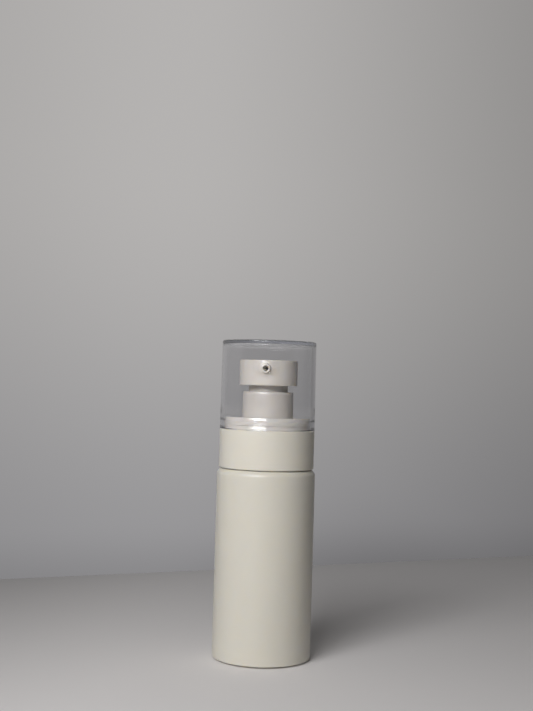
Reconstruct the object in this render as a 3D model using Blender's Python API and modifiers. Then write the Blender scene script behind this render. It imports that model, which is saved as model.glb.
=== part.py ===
"""Cosmetic lotion pump bottle with a clear overcap.

A straight cylindrical bottle carries a dip tube pump under a double walled screw closure.
Every piece is turned about the bottle's own axis, +Z, which is also the axis of all the joints.
The nozzle points along -Y.  Lengths are in metres, and the bottle stands on z = 0.
"""
import math

import bmesh
import bpy
from mathutils import Matrix

# Bottle
BODY_DIAMETER = 0.0400
BODY_HEIGHT = 0.0771
BODY_WALL = 0.0012
BODY_BASE = 0.0015
FOOT_WIDTH = 0.0026
FOOT_INSET = 0.0004
HEEL_LIFT = 0.0005
HEEL_FILLET = 0.0008
FOOT_SLOPE = 0.0009
PUSH_UP = 0.0012
SHOULDER_FILLET = 0.0028
BODY_INNER_FILLET = 0.0013
NECK_WALL = 0.0015
NECK_LIP_FILLET = 0.0008
NECK_BEAD_REACH = 0.0009
NECK_BEAD_HEIGHT = 0.0012
NECK_BEAD_LIFT = 0.0008
THREAD_DEPTH = 0.0010

# Clearances
SEAT_GAP = 0.0002
RUNNING_GAP = 0.0003
THREAD_CLEARANCE = 0.00025
PRESS_CLEARANCE = 0.00015
PISTON_CLEARANCE = 0.00012
SNAP_CLEARANCE = 0.00035

# Head that the finger presses
HEAD_DIAMETER = 0.0236
HEAD_HEIGHT = 0.0102
HEAD_WALL = 0.0010
HEAD_ROOF = 0.0012
HEAD_FILLET = 0.0004
HEAD_LIP_FILLET = 0.0002
HEAD_REVEAL = 0.0026
HEAD_CLEARANCE = 0.00035
LOCATING_RIB_WIDTH = 0.0009
LOCATING_RIB_DEPTH = 0.0031
NOTCH_RELIEF = 0.0001

# Head core, with the stem socket and the channel to the nozzle
SKIRT_WALL = 0.0010
SKIRT_FILLET = 0.0002
SKIRT_OVERLAP = 0.0033
CORE_WEB = 0.0012
SOCKET_WALL = 0.00105
SOCKET_SPARE = 0.0022
SOCKET_FILLET = 0.0004
RISER_BORE = 0.0026
CHANNEL_DROP = 0.0033
CHANNEL_DIAMETER = 0.0020
CHANNEL_BOSS_WALL = 0.00045

# Nozzle insert and the flared boss round it
NOZZLE_DIAMETER = 0.0038
NOZZLE_BORE = 0.0019
NOZZLE_MOUTH_BORE = 0.0025
NOZZLE_MOUTH_DEPTH = 0.0012
NOZZLE_MOUTH_SLOPE = 0.0004
NOZZLE_CREST_DIAMETER = 0.0033
NOZZLE_CHAMFER = 0.00045
NOZZLE_LEAN = 0.0002
NOZZLE_REACH = 0.0016
NOZZLE_PLUG_DIAMETER = 0.0025
NOZZLE_PLUG_LENGTH = 0.0030
NOZZLE_FILLET = 0.0001
FLARE_REACH = 0.0006
FLARE_TIP_WIDTH = 0.0003
FLARE_WIDTH = 0.0005

# Guide sleeve round the head's skirt
SLEEVE_EXPOSED = 0.0103
SLEEVE_WALL = 0.0011
SLEEVE_DRAFT = 0.00015
SLEEVE_FLANGE = 0.0009
SLEEVE_FILLET = 0.0003
SKIRT_CLEARANCE = 0.0012

# Closure: threaded inner wall, deck, spigot for the overcap and outer wall
DECK_LEDGE = 0.0014
DECK_THICKNESS = 0.0012
DECK_FILLET = 0.0002
THREAD_WALL = 0.0011
THREAD_WALL_LIFT = 0.0004
CLOSURE_HOLLOW = 0.00305
SPIGOT_WALL = 0.0013
SPIGOT_HEIGHT = 0.0051
BAND_REACH = 0.0001
BAND_LEAN = 0.00032
BAND_HEIGHT = 0.00145
BAND_FOOT = 0.0002
RINGS_HEIGHT = 0.0017
RING_COUNT = 3
RING_DEPTH = 0.0001
CLOSURE_STEP = 0.0004
CLOSURE_LIFT = 0.0003
RIB_COUNT = 6
RIB_THICKNESS = 0.0009
RIB_DROP = 0.0035
RIB_BURY = 0.0003

# Outer collar pressed over the closure
SEAM_GAP = 0.0002
COLLAR_HEIGHT = 0.0154
COLLAR_WALL = 0.0010
COLLAR_LIP = 0.0010
COLLAR_FILLET = 0.0003

# Overcap
OVERCAP_WALL = 0.00145
OVERCAP_ROOF = 0.0015
OVERCAP_HEADROOM = 0.0064
OVERCAP_DRAFT = 0.00022
OVERCAP_FILLET = 0.0008
OVERCAP_INNER_FILLET = 0.0005
OVERCAP_LEAD_IN = 0.0001
OVERCAP_LEAD_HEIGHT = 0.0003
OVERCAP_RELIEF = 0.0003
OVERCAP_RELIEF_SLOPE = 0.0045

# Gasket and pump housing
GASKET_THICKNESS = 0.0008
GASKET_OVERHANG = 0.0003
HOUSING_FLANGE = 0.0009
HOUSING_WALL = 0.0009
MOUTH_STEP = 0.0018
MOUTH_DEPTH = 0.0067
TAPER_HEIGHT = 0.0012
PISTON_BORE = 0.0084
CHAMBER_SPARE = 0.0020
WELL_STEP = 0.0009
WELL_CLEARANCE = 0.00035
VENT_DIAMETER = 0.0009
VENT_SHARE = 0.55
TAIL_LENGTH = 0.0078
TAIL_WALL = 0.0010
INLET_THICKNESS = 0.0016
INLET_BORE = 0.0020

# Inlet valve ball
BALL_DIAMETER = 0.0032
BALL_LIFT = 0.0008
BALL_GAP = 0.00015
BALL_CHAMBER_CLEARANCE = 0.0004
NUB_REACH = 0.0006
NUB_THICKNESS = 0.0006
NUB_SLOT_COUNT = 4
NUB_SLOT_WIDTH = 0.0011
NUB_SLOT_OVERRUN = 0.0003

# Stem, its guide and the piston
STEM_WALL = 0.0011
STEM_FLANGE_CLEARANCE = 0.0008
STEM_FLANGE_REACH = 0.0006
STEM_FLANGE_HEIGHT = 0.0015
STEM_FILLET = 0.0004
GUIDE_CLEARANCE = 0.00025
GUIDE_FLANGE = 0.0008
GUIDE_PLUG_WALL = 0.0008
GUIDE_PLUG_FLOOR = 0.0012
GUIDE_CHIMNEY_WALL = 0.00095
GUIDE_CHIMNEY_HEIGHT = 0.0047
GUIDE_FILLET = 0.0004
STROKE = 0.0050
LOST_MOTION = 0.0008
PISTON_HEIGHT = 0.0056
PISTON_HUB_WALL = 0.00095
PISTON_WEB_HEIGHT = 0.0016
PISTON_WEB_INSET = 0.00025
PISTON_LIP_WALL = 0.00035
PISTON_LIP_HEIGHT = 0.0007

# Piston rod
SHANK_CLEARANCE = 0.0002
SHANK_REACH = 0.0090
HUB_CLEARANCE = 0.00045
FLUTE_COUNT = 4
FLUTE_DIAMETER = 0.0011
CONE_HEIGHT = 0.0012
ROD_HEAD_RIM = 0.0008
ROD_HEAD_COVER = 0.00025
PIN_CLEARANCE = 0.00045
PIN_LENGTH = 0.0037
PIN_FILLET = 0.0005

# Return spring
SPRING_WIRE = 0.0007
SPRING_LENGTH = 0.0126
SPRING_CLOSED_GAP = 0.0002
SPRING_CLOSED_TURNS = 1
SPRING_ACTIVE_TURNS = 5
SPRING_POINTS_PER_TURN = 10

# Dip tube
TUBE_DIAMETER = 0.0040
TUBE_WALL = 0.0005
TUBE_FOOT_GAP = 0.0013
TUBE_CUT_ANGLE = math.radians(35)

# How finely round shapes are drawn, and how far a cutter overruns what it cuts
LARGE_STEPS = 40
MEDIUM_STEPS = 32
SMALL_STEPS = 20
ARC_STEPS = 2
CHORD_GAP = 0.00003
FILLET_SHARE = 0.45
CUT_OVERRUN = 0.0010
SMOOTH_ANGLE = math.radians(32)
MERGE_DISTANCE = 0.00001

# Radii, worked out from the head outwards and inwards
BODY_R = BODY_DIAMETER / 2
HEAD_R = HEAD_DIAMETER / 2
HEAD_BORE_R = HEAD_R - HEAD_WALL
SLEEVE_BASE_R = HEAD_BORE_R - HEAD_CLEARANCE
SLEEVE_TOP_R = SLEEVE_BASE_R - SLEEVE_DRAFT
SLEEVE_BORE_R = SLEEVE_TOP_R - SLEEVE_WALL
SKIRT_R = SLEEVE_BORE_R - SKIRT_CLEARANCE
DECK_HOLE_R = SLEEVE_BASE_R + RUNNING_GAP
THREAD_BORE_R = DECK_HOLE_R + DECK_LEDGE
THREAD_WALL_R = THREAD_BORE_R + THREAD_WALL
SPIGOT_BORE_R = THREAD_WALL_R + CLOSURE_HOLLOW
SPIGOT_R = SPIGOT_BORE_R + SPIGOT_WALL
BAND_R = SPIGOT_R + BAND_REACH
CLOSURE_R = SPIGOT_R + CLOSURE_STEP
COLLAR_BORE_R = CLOSURE_R + RUNNING_GAP
COLLAR_R = COLLAR_BORE_R + COLLAR_WALL
OVERCAP_BORE_R = SPIGOT_R + SNAP_CLEARANCE
OVERCAP_R = OVERCAP_BORE_R + OVERCAP_WALL
FLANGE_R = THREAD_BORE_R - THREAD_CLEARANCE
NECK_R = FLANGE_R - THREAD_DEPTH
NECK_BORE_R = NECK_R - NECK_WALL
PISTON_BORE_R = PISTON_BORE / 2
STEM_FLANGE_R = PISTON_BORE_R - STEM_FLANGE_CLEARANCE
STEM_R = STEM_FLANGE_R - STEM_FLANGE_REACH
STEM_BORE_R = STEM_R - STEM_WALL
SOCKET_BORE_R = STEM_R + PRESS_CLEARANCE
SOCKET_R = SOCKET_BORE_R + SOCKET_WALL
GUIDE_BORE_R = STEM_R + GUIDE_CLEARANCE
CHIMNEY_R = GUIDE_BORE_R + GUIDE_CHIMNEY_WALL
MOUTH_R = PISTON_BORE_R + MOUTH_STEP
HOUSING_NECK_R = MOUTH_R + HOUSING_WALL
CHAMBER_R = PISTON_BORE_R + HOUSING_WALL
WELL_BORE_R = PISTON_BORE_R - WELL_STEP
WELL_R = WELL_BORE_R + HOUSING_WALL
SPRING_OUTER_R = WELL_BORE_R - WELL_CLEARANCE
SPRING_R = SPRING_OUTER_R - SPRING_WIRE / 2
SHANK_R = STEM_BORE_R - SHANK_CLEARANCE
PISTON_HUB_BORE_R = SHANK_R + HUB_CLEARANCE
ROD_HEAD_R = SPRING_OUTER_R + ROD_HEAD_COVER
PIN_R = SPRING_R - SPRING_WIRE / 2 - PIN_CLEARANCE
BALL_R = BALL_DIAMETER / 2
BALL_CHAMBER_R = BALL_R + BALL_CHAMBER_CLEARANCE
NUB_R = BALL_CHAMBER_R - NUB_REACH
INLET_R = INLET_BORE / 2
TUBE_R = TUBE_DIAMETER / 2
TAIL_BORE_R = TUBE_R + PRESS_CLEARANCE
TAIL_R = TAIL_BORE_R + TAIL_WALL
NOZZLE_R = NOZZLE_DIAMETER / 2
NOZZLE_PLUG_R = NOZZLE_PLUG_DIAMETER / 2
PLUG_BORE_R = NOZZLE_PLUG_R + PRESS_CLEARANCE
BOSS_R = PLUG_BORE_R + CHANNEL_BOSS_WALL

# Heights, worked out upwards from the face that the bottle stands on
COLLAR_BASE_Z = BODY_HEIGHT + SEAM_GAP
COLLAR_TOP_Z = COLLAR_BASE_Z + COLLAR_HEIGHT
CLOSURE_BASE_Z = COLLAR_BASE_Z + CLOSURE_LIFT
CLOSURE_STEP_Z = COLLAR_TOP_Z - COLLAR_LIP - RUNNING_GAP
DECK_TOP_Z = COLLAR_TOP_Z + SPIGOT_HEIGHT
DECK_UNDER_Z = DECK_TOP_Z - DECK_THICKNESS
SLEEVE_BASE_Z = DECK_UNDER_Z - SEAT_GAP - SLEEVE_FLANGE
HOUSING_TOP_Z = SLEEVE_BASE_Z - SEAT_GAP
HOUSING_BASE_Z = HOUSING_TOP_Z - HOUSING_FLANGE
GASKET_BASE_Z = HOUSING_BASE_Z - SEAT_GAP - GASKET_THICKNESS
NECK_TOP_Z = GASKET_BASE_Z - SEAT_GAP
SLEEVE_TOP_Z = DECK_TOP_Z + SLEEVE_EXPOSED
HEAD_BASE_Z = SLEEVE_TOP_Z + HEAD_REVEAL
HEAD_TOP_Z = HEAD_BASE_Z + HEAD_HEIGHT
HEAD_CEILING_Z = HEAD_TOP_Z - HEAD_ROOF
NOZZLE_Z = HEAD_TOP_Z - CHANNEL_DROP
CORE_TOP_Z = HEAD_CEILING_Z - SEAT_GAP
OVERCAP_BASE_Z = COLLAR_TOP_Z + SEAT_GAP
OVERCAP_CEILING_Z = HEAD_TOP_Z + OVERCAP_HEADROOM
OVERCAP_TOP_Z = OVERCAP_CEILING_Z + OVERCAP_ROOF
GUIDE_TOP_Z = HOUSING_TOP_Z + SEAT_GAP + GUIDE_FLANGE
CHIMNEY_TOP_Z = GUIDE_TOP_Z + GUIDE_CHIMNEY_HEIGHT
SOCKET_BASE_Z = CHIMNEY_TOP_Z + STROKE + SOCKET_SPARE
SOCKET_TOP_Z = NOZZLE_Z - RISER_BORE / 2
STEM_TOP_Z = SOCKET_TOP_Z - SEAT_GAP
MOUTH_FLOOR_Z = HOUSING_TOP_Z - MOUTH_DEPTH
PLUG_BASE_Z = MOUTH_FLOOR_Z + SEAT_GAP
STEM_FLANGE_TOP_Z = PLUG_BASE_Z - RUNNING_GAP
STEM_BASE_Z = STEM_FLANGE_TOP_Z - STEM_FLANGE_HEIGHT
PISTON_TOP_Z = STEM_BASE_Z - LOST_MOTION - RUNNING_GAP
PISTON_BASE_Z = PISTON_TOP_Z - PISTON_HEIGHT
CONE_SLOPE = CONE_HEIGHT / (ROD_HEAD_R - SHANK_R)
CONE_TOP_Z = PISTON_BASE_Z - SEAT_GAP + HUB_CLEARANCE * CONE_SLOPE
ROD_HEAD_BASE_Z = CONE_TOP_Z - CONE_HEIGHT - ROD_HEAD_RIM
SPRING_TOP_Z = ROD_HEAD_BASE_Z - SEAT_GAP
SPRING_BASE_Z = SPRING_TOP_Z - SPRING_LENGTH
WELL_FLOOR_Z = SPRING_BASE_Z - SEAT_GAP
CHAMBER_FLOOR_Z = ROD_HEAD_BASE_Z - STROKE - CHAMBER_SPARE
NUB_BASE_Z = WELL_FLOOR_Z - NUB_THICKNESS
BALL_REACH = BALL_R + BALL_GAP
BALL_Z = NUB_BASE_Z - BALL_LIFT - math.sqrt(BALL_REACH ** 2 - NUB_R ** 2)
SEAT_APEX_Z = BALL_Z - BALL_REACH * math.sqrt(2)
SEAT_BASE_Z = SEAT_APEX_Z + INLET_R
SEAT_TOP_Z = SEAT_APEX_Z + BALL_CHAMBER_R
TAIL_TOP_Z = SEAT_BASE_Z - INLET_THICKNESS
TAIL_BASE_Z = TAIL_TOP_Z - TAIL_LENGTH
TUBE_TOP_Z = TAIL_TOP_Z - SEAT_GAP
TUBE_BASE_Z = PUSH_UP + BODY_BASE + TUBE_FOOT_GAP

# Finishes: colour, roughness, metallic value and how much light passes through
FINISHES = {
    "satin_white": ((0.75, 0.72, 0.64), 0.42, 0.0, 0.0),
    "gloss_white": ((0.88, 0.83, 0.78), 0.30, 0.0, 0.0),
    "clear_plastic": ((0.87, 0.87, 0.87), 0.04, 0.0, 1.0),
    "natural_plastic": ((0.78, 0.78, 0.74), 0.35, 0.0, 0.35),
    "soft_seal": ((0.86, 0.85, 0.80), 0.55, 0.0, 0.0),
    "spring_steel": ((0.62, 0.61, 0.59), 0.22, 1.0, 0.0),
}

PARTS = bpy.data.collections.new("lotion_pump_bottle")
CUTTERS = bpy.data.collections.new("cutters")
CARRIER_HEIGHTS = {}


def clear_scene():
    """Remove whatever the file holds, and link the two collections of this model."""
    for old in list(bpy.data.objects):
        bpy.data.objects.remove(old, do_unlink=True)
    bpy.context.scene.collection.children.link(PARTS)
    bpy.context.scene.collection.children.link(CUTTERS)


def finish_material(piece_name, finish):
    """A Principled material of the piece's own, in one of the named finishes."""
    colour, roughness, metallic, transmission = FINISHES[finish]
    material = bpy.data.materials.new(piece_name + "_" + finish)
    material.use_nodes = True
    shader = material.node_tree.nodes["Principled BSDF"]
    shader.inputs["Base Color"].default_value = (*colour, 1.0)
    shader.inputs["Roughness"].default_value = roughness
    shader.inputs["Metallic"].default_value = metallic
    shader.inputs["Transmission Weight"].default_value = transmission
    return material


def carrier(name, height, parent=None):
    """An empty on the bottle's axis that carries the pieces of one moving group."""
    empty = bpy.data.objects.new(name, None)
    PARTS.objects.link(empty)
    CARRIER_HEIGHTS[name] = height
    hang(empty, parent, height)
    return empty


def hang(piece, parent, height, forward=0.0):
    """Parent a piece and put its origin at a height above the ground, forward along -Y."""
    piece.parent = parent
    parent_height = CARRIER_HEIGHTS[parent.name] if parent else 0.0
    piece.location = (0.0, -forward, height - parent_height)


def rounded(corners, closed):
    """Outline points (radius, height), with each corner that names a fillet drawn as an arc.

    A corner is (radius, height) or (radius, height, fillet).  The arc touches the two sides
    at fillet / tan(half the angle between them) from the corner.
    """
    outline = []
    for index, corner in enumerate(corners):
        fillet = corner[2] if len(corner) > 2 else 0.0
        at_end = not closed and index in (0, len(corners) - 1)
        if not fillet or at_end:
            outline.append((corner[0], corner[1]))
            continue
        before = corners[index - 1]
        after = corners[(index + 1) % len(corners)]
        outline.extend(corner_arc(before, corner, after, fillet))
    return outline


def corner_arc(before, corner, after, fillet):
    """Points of the arc that rounds one corner, its radius limited by the sides beside it.

    A wide arc takes more steps than a small one, so that no chord lies deeper inside its arc
    than the chord gap.
    """
    sides = [(end[0] - corner[0], end[1] - corner[1]) for end in (before, after)]
    lengths = [math.hypot(*side) for side in sides]
    units = [(side[0] / size, side[1] / size) for side, size in zip(sides, lengths)]
    half = math.acos(units[0][0] * units[1][0] + units[0][1] * units[1][1]) / 2
    reach = min(fillet / math.tan(half), FILLET_SHARE * min(lengths))
    radius = reach * math.tan(half)
    middle = (units[0][0] + units[1][0], units[0][1] + units[1][1])
    scale = radius / math.sin(half) / math.hypot(*middle)
    centre = (corner[0] + middle[0] * scale, corner[1] + middle[1] * scale)
    angles = [math.atan2(corner[1] + unit[1] * reach - centre[1],
                         corner[0] + unit[0] * reach - centre[0]) for unit in units]
    sweep = (angles[1] - angles[0] + math.pi) % math.tau - math.pi
    widest = 2 * math.acos(max(0.0, 1 - CHORD_GAP / radius))
    steps = max(ARC_STEPS, math.ceil(abs(sweep) / widest))
    turns = [angles[0] + sweep * step / steps for step in range(steps + 1)]
    return [(centre[0] + radius * math.cos(turn), centre[1] + radius * math.sin(turn))
            for turn in turns]


def turned(name, corners, steps, finish, origin=0.0, closed=True):
    """Turn an outline about Z with a Screw modifier.

    Heights in the corners count from the ground, and origin is the height of the object's
    own origin.  The outline runs down the piece's outer side and back up its inner side; one
    that isn't closed begins and ends on the axis.
    """
    outline = rounded(corners, closed)
    mesh = bpy.data.meshes.new(name)
    points = [(radius, 0.0, height - origin) for radius, height in outline]
    edges = [(index, index + 1) for index in range(len(points) - 1)]
    if closed:
        edges.append((len(points) - 1, 0))
    mesh.from_pydata(points, edges, [])
    piece = bpy.data.objects.new(name, mesh)
    PARTS.objects.link(piece)
    screw = piece.modifiers.new("turn", "SCREW")
    screw.axis = "Z"
    screw.angle = math.tau
    screw.steps = steps
    screw.render_steps = steps
    screw.use_merge_vertices = True
    screw.merge_threshold = MERGE_DISTANCE
    mesh.materials.append(finish_material(name, finish))
    piece.location.z = origin
    return piece


def cutter(name, mesh_maker, matrix):
    """A hidden tool body whose mesh a bmesh maker fills, set in place by a matrix."""
    mesh = bpy.data.meshes.new(name)
    shape = bmesh.new()
    mesh_maker(shape)
    shape.transform(matrix)
    shape.to_mesh(mesh)
    shape.free()
    tool = bpy.data.objects.new(name, mesh)
    tool.hide_render = True
    tool.display_type = "WIRE"
    CUTTERS.objects.link(tool)
    return tool


def round_tool(name, start_radius, end_radius, start, end, height, steps=SMALL_STEPS):
    """A cone or cylinder along -Y, from start to end in front of the axis, at a height."""
    def fill(shape):
        bmesh.ops.create_cone(shape, cap_ends=True, segments=steps, radius1=start_radius,
                              radius2=end_radius, depth=end - start)
    middle = (start + end) / 2
    place = Matrix.Translation((0.0, -middle, height)) @ Matrix.Rotation(math.pi / 2, 4, "X")
    return cutter(name, fill, place)


def box_tool(name, size, matrix):
    """A box of the given size, centred on the matrix."""
    def fill(shape):
        bmesh.ops.create_cube(shape, size=1.0)
        bmesh.ops.scale(shape, vec=size, verts=shape.verts)
    return cutter(name, fill, matrix)


def combine(piece, tool, operation):
    """Join a tool to a piece, or cut it out, with an exact Boolean."""
    change = piece.modifiers.new(tool.name, "BOOLEAN")
    change.operation = operation
    change.solver = "EXACT"
    change.object = tool


def settle(piece):
    """Turn the evaluated shape into the piece's own mesh and shade its round faces smooth."""
    bpy.context.view_layer.update()
    evaluated = piece.evaluated_get(bpy.context.evaluated_depsgraph_get())
    mesh = bpy.data.meshes.new_from_object(evaluated)
    piece.modifiers.clear()
    old = piece.data
    piece.data = mesh
    bpy.data.meshes.remove(old)
    mesh.name = piece.name
    mesh.shade_smooth()
    mesh.set_sharp_from_angle(angle=SMOOTH_ANGLE)


def bottle_body(parent):
    """Blow moulded bottle: push-up base, straight wall, rounded shoulder and neck finish.

    The wall's heel ends a little above the ground, and an inset foot ring carries the bottle.
    """
    inner_r = BODY_R - BODY_WALL
    ring_r = BODY_R - HEEL_FILLET - FOOT_INSET
    foot_r = ring_r - FOOT_WIDTH
    bead_r = NECK_R + NECK_BEAD_REACH
    bead_z = BODY_HEIGHT + NECK_BEAD_LIFT
    inner_shoulder_z = BODY_HEIGHT - BODY_WALL
    body = turned("bottle_body", [
        (0.0, PUSH_UP + BODY_BASE),
        (foot_r - FOOT_SLOPE, PUSH_UP + BODY_BASE),
        (foot_r, BODY_BASE),
        (inner_r, BODY_BASE, BODY_INNER_FILLET),
        (inner_r, inner_shoulder_z, BODY_INNER_FILLET),
        (NECK_BORE_R, inner_shoulder_z),
        (NECK_BORE_R, NECK_TOP_Z),
        (NECK_R, NECK_TOP_Z, NECK_LIP_FILLET),
        (NECK_R, bead_z + NECK_BEAD_HEIGHT),
        (bead_r, bead_z + NECK_BEAD_HEIGHT / 2),
        (NECK_R, bead_z),
        (NECK_R, BODY_HEIGHT),
        (BODY_R, BODY_HEIGHT, SHOULDER_FILLET),
        (BODY_R, HEEL_LIFT, HEEL_FILLET),
        (ring_r, HEEL_LIFT),
        (ring_r, 0.0),
        (foot_r, 0.0),
        (foot_r - FOOT_SLOPE, PUSH_UP),
        (0.0, PUSH_UP),
    ], LARGE_STEPS, "satin_white", closed=False)
    hang(body, parent, 0.0)
    settle(body)


def neck_gasket(parent):
    """Flat ring that the housing's flange presses on the bottle's lip."""
    top = GASKET_BASE_Z + GASKET_THICKNESS
    bore_r = NECK_BORE_R - GASKET_OVERHANG
    gasket = turned("neck_gasket", [
        (bore_r, GASKET_BASE_Z),
        (bore_r, top),
        (FLANGE_R, top),
        (FLANGE_R, GASKET_BASE_Z),
    ], MEDIUM_STEPS, "soft_seal", GASKET_BASE_Z)
    hang(gasket, parent, GASKET_BASE_Z)
    settle(gasket)


def pump_housing(parent):
    """Stepped cylinder: flange, guide mouth, piston chamber, spring well, ball seat and tail."""
    neck_end_z = MOUTH_FLOOR_Z - HOUSING_WALL
    well_end_z = SEAT_TOP_Z
    housing = turned("pump_housing", [
        (TAIL_BORE_R, TAIL_BASE_Z),
        (TAIL_BORE_R, TAIL_TOP_Z),
        (INLET_R, TAIL_TOP_Z),
        (INLET_R, SEAT_BASE_Z),
        (BALL_CHAMBER_R, SEAT_TOP_Z),
        (BALL_CHAMBER_R, NUB_BASE_Z),
        (NUB_R, NUB_BASE_Z),
        (NUB_R, WELL_FLOOR_Z),
        (WELL_BORE_R, WELL_FLOOR_Z),
        (WELL_BORE_R, CHAMBER_FLOOR_Z - TAPER_HEIGHT),
        (PISTON_BORE_R, CHAMBER_FLOOR_Z),
        (PISTON_BORE_R, MOUTH_FLOOR_Z),
        (MOUTH_R, MOUTH_FLOOR_Z),
        (MOUTH_R, HOUSING_TOP_Z),
        (FLANGE_R, HOUSING_TOP_Z),
        (FLANGE_R, HOUSING_BASE_Z),
        (HOUSING_NECK_R, HOUSING_BASE_Z),
        (HOUSING_NECK_R, neck_end_z),
        (CHAMBER_R, neck_end_z - TAPER_HEIGHT),
        (CHAMBER_R, CHAMBER_FLOOR_Z),
        (WELL_R, CHAMBER_FLOOR_Z - TAPER_HEIGHT),
        (WELL_R, well_end_z),
        (TAIL_R, well_end_z - TAPER_HEIGHT),
        (TAIL_R, TAIL_BASE_Z),
    ], SMALL_STEPS, "natural_plastic", HOUSING_BASE_Z)
    hang(housing, parent, HOUSING_BASE_Z)

    slot_z = (NUB_BASE_Z + WELL_FLOOR_Z) / 2
    slot_length = (BALL_CHAMBER_R + RUNNING_GAP) * 2
    slot_size = (slot_length, NUB_SLOT_WIDTH, NUB_THICKNESS + NUB_SLOT_OVERRUN * 2)
    for index in range(NUB_SLOT_COUNT // 2):
        turn = Matrix.Rotation(math.tau * index / NUB_SLOT_COUNT, 4, "Z")
        place = Matrix.Translation((0.0, 0.0, slot_z)) @ turn
        combine(housing, box_tool("nub_slot_%d" % index, slot_size, place), "DIFFERENCE")

    vent_z = PISTON_BASE_Z + PISTON_HEIGHT * VENT_SHARE
    vent = round_tool("vent_hole", VENT_DIAMETER / 2, VENT_DIAMETER / 2,
                      PISTON_BORE_R - CUT_OVERRUN, CHAMBER_R + CUT_OVERRUN, vent_z)
    combine(housing, vent, "DIFFERENCE")
    settle(housing)


def stem_guide(parent):
    """Cup in the housing's mouth, with a chimney that guides the stem and stops its flange."""
    plug_r = MOUTH_R - PRESS_CLEARANCE
    plug_bore_r = plug_r - GUIDE_PLUG_WALL
    plug_floor_z = PLUG_BASE_Z + GUIDE_PLUG_FLOOR
    flange_r = SLEEVE_BORE_R - RUNNING_GAP
    flange_z = HOUSING_TOP_Z + SEAT_GAP
    guide = turned("stem_guide", [
        (GUIDE_BORE_R, PLUG_BASE_Z),
        (GUIDE_BORE_R, CHIMNEY_TOP_Z),
        (CHIMNEY_R, CHIMNEY_TOP_Z, GUIDE_FILLET),
        (CHIMNEY_R, plug_floor_z),
        (plug_bore_r, plug_floor_z),
        (plug_bore_r, GUIDE_TOP_Z),
        (flange_r, GUIDE_TOP_Z),
        (flange_r, flange_z),
        (plug_r, flange_z),
        (plug_r, PLUG_BASE_Z, GUIDE_FILLET),
    ], SMALL_STEPS, "natural_plastic", PLUG_BASE_Z)
    hang(guide, parent, PLUG_BASE_Z)
    settle(guide)


def guide_sleeve(parent):
    """Tall sleeve that rises from under the deck and hides the head's skirt."""
    sleeve = turned("guide_sleeve", [
        (SLEEVE_BORE_R, SLEEVE_BASE_Z),
        (SLEEVE_BORE_R, SLEEVE_TOP_Z),
        (SLEEVE_TOP_R, SLEEVE_TOP_Z, SLEEVE_FILLET),
        (SLEEVE_BASE_R, SLEEVE_BASE_Z + SLEEVE_FLANGE),
        (FLANGE_R, SLEEVE_BASE_Z + SLEEVE_FLANGE),
        (FLANGE_R, SLEEVE_BASE_Z),
    ], MEDIUM_STEPS, "gloss_white", SLEEVE_BASE_Z)
    hang(sleeve, parent, SLEEVE_BASE_Z)
    settle(sleeve)


def spring_height(turn):
    """Height of the wire's middle after so many turns: closed ends, even pitch between."""
    closed_pitch = SPRING_WIRE + SPRING_CLOSED_GAP
    closed_rise = closed_pitch * SPRING_CLOSED_TURNS
    active_rise = SPRING_LENGTH - SPRING_WIRE - closed_rise * 2
    active_share = (turn - SPRING_CLOSED_TURNS) / SPRING_ACTIVE_TURNS
    if active_share < 0.0:
        return SPRING_WIRE / 2 + closed_pitch * turn
    if active_share > 1.0:
        past = turn - SPRING_CLOSED_TURNS - SPRING_ACTIVE_TURNS
        return SPRING_WIRE / 2 + closed_rise + active_rise + closed_pitch * past
    return SPRING_WIRE / 2 + closed_rise + active_rise * active_share


def return_spring(parent):
    """Compression spring wound as one helix between the well's floor and the rod's head."""
    turns = SPRING_ACTIVE_TURNS + SPRING_CLOSED_TURNS * 2
    count = turns * SPRING_POINTS_PER_TURN + 1
    curve = bpy.data.curves.new("spring_path", "CURVE")
    curve.dimensions = "3D"
    curve.bevel_depth = SPRING_WIRE / 2
    curve.bevel_resolution = 1
    curve.use_fill_caps = True
    path = curve.splines.new("POLY")
    path.points.add(count - 1)
    for index, point in enumerate(path.points):
        turn = index / SPRING_POINTS_PER_TURN
        angle = math.tau * turn
        point.co = (SPRING_R * math.cos(angle), SPRING_R * math.sin(angle),
                    spring_height(turn), 1.0)
    spring = bpy.data.objects.new("return_spring", curve)
    PARTS.objects.link(spring)
    curve.materials.append(finish_material("return_spring", "spring_steel"))
    hang(spring, parent, SPRING_BASE_Z)


def dip_tube(parent):
    """Tube from the housing's tail to the bottle's floor, its foot cut at a slant."""
    bore_r = TUBE_R - TUBE_WALL
    tube = turned("dip_tube", [
        (bore_r, TUBE_BASE_Z),
        (bore_r, TUBE_TOP_Z),
        (TUBE_R, TUBE_TOP_Z),
        (TUBE_R, TUBE_BASE_Z),
    ], SMALL_STEPS, "natural_plastic", TUBE_TOP_Z)
    hang(tube, parent, TUBE_TOP_Z)
    slant_length = TUBE_DIAMETER / math.cos(TUBE_CUT_ANGLE)
    block = slant_length + CUT_OVERRUN * 2
    slant_z = TUBE_BASE_Z + TUBE_R * math.tan(TUBE_CUT_ANGLE)
    place = (Matrix.Translation((0.0, 0.0, slant_z)) @ Matrix.Rotation(TUBE_CUT_ANGLE, 4, "Y")
             @ Matrix.Translation((0.0, 0.0, -block / 2)))
    combine(tube, box_tool("tube_slant", (block, block, block), place), "DIFFERENCE")
    settle(tube)


def inlet_ball(parent):
    """Ball that lies on the conical seat and closes the dip tube on the up stroke."""
    ball = turned("inlet_ball", [
        (BALL_R * math.sin(math.pi * index / SMALL_STEPS * 2),
         BALL_Z + BALL_R * math.cos(math.pi * index / SMALL_STEPS * 2))
        for index in range(SMALL_STEPS // 2 + 1)
    ], SMALL_STEPS, "spring_steel", BALL_Z, closed=False)
    hang(ball, parent, BALL_Z)
    settle(ball)


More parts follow.
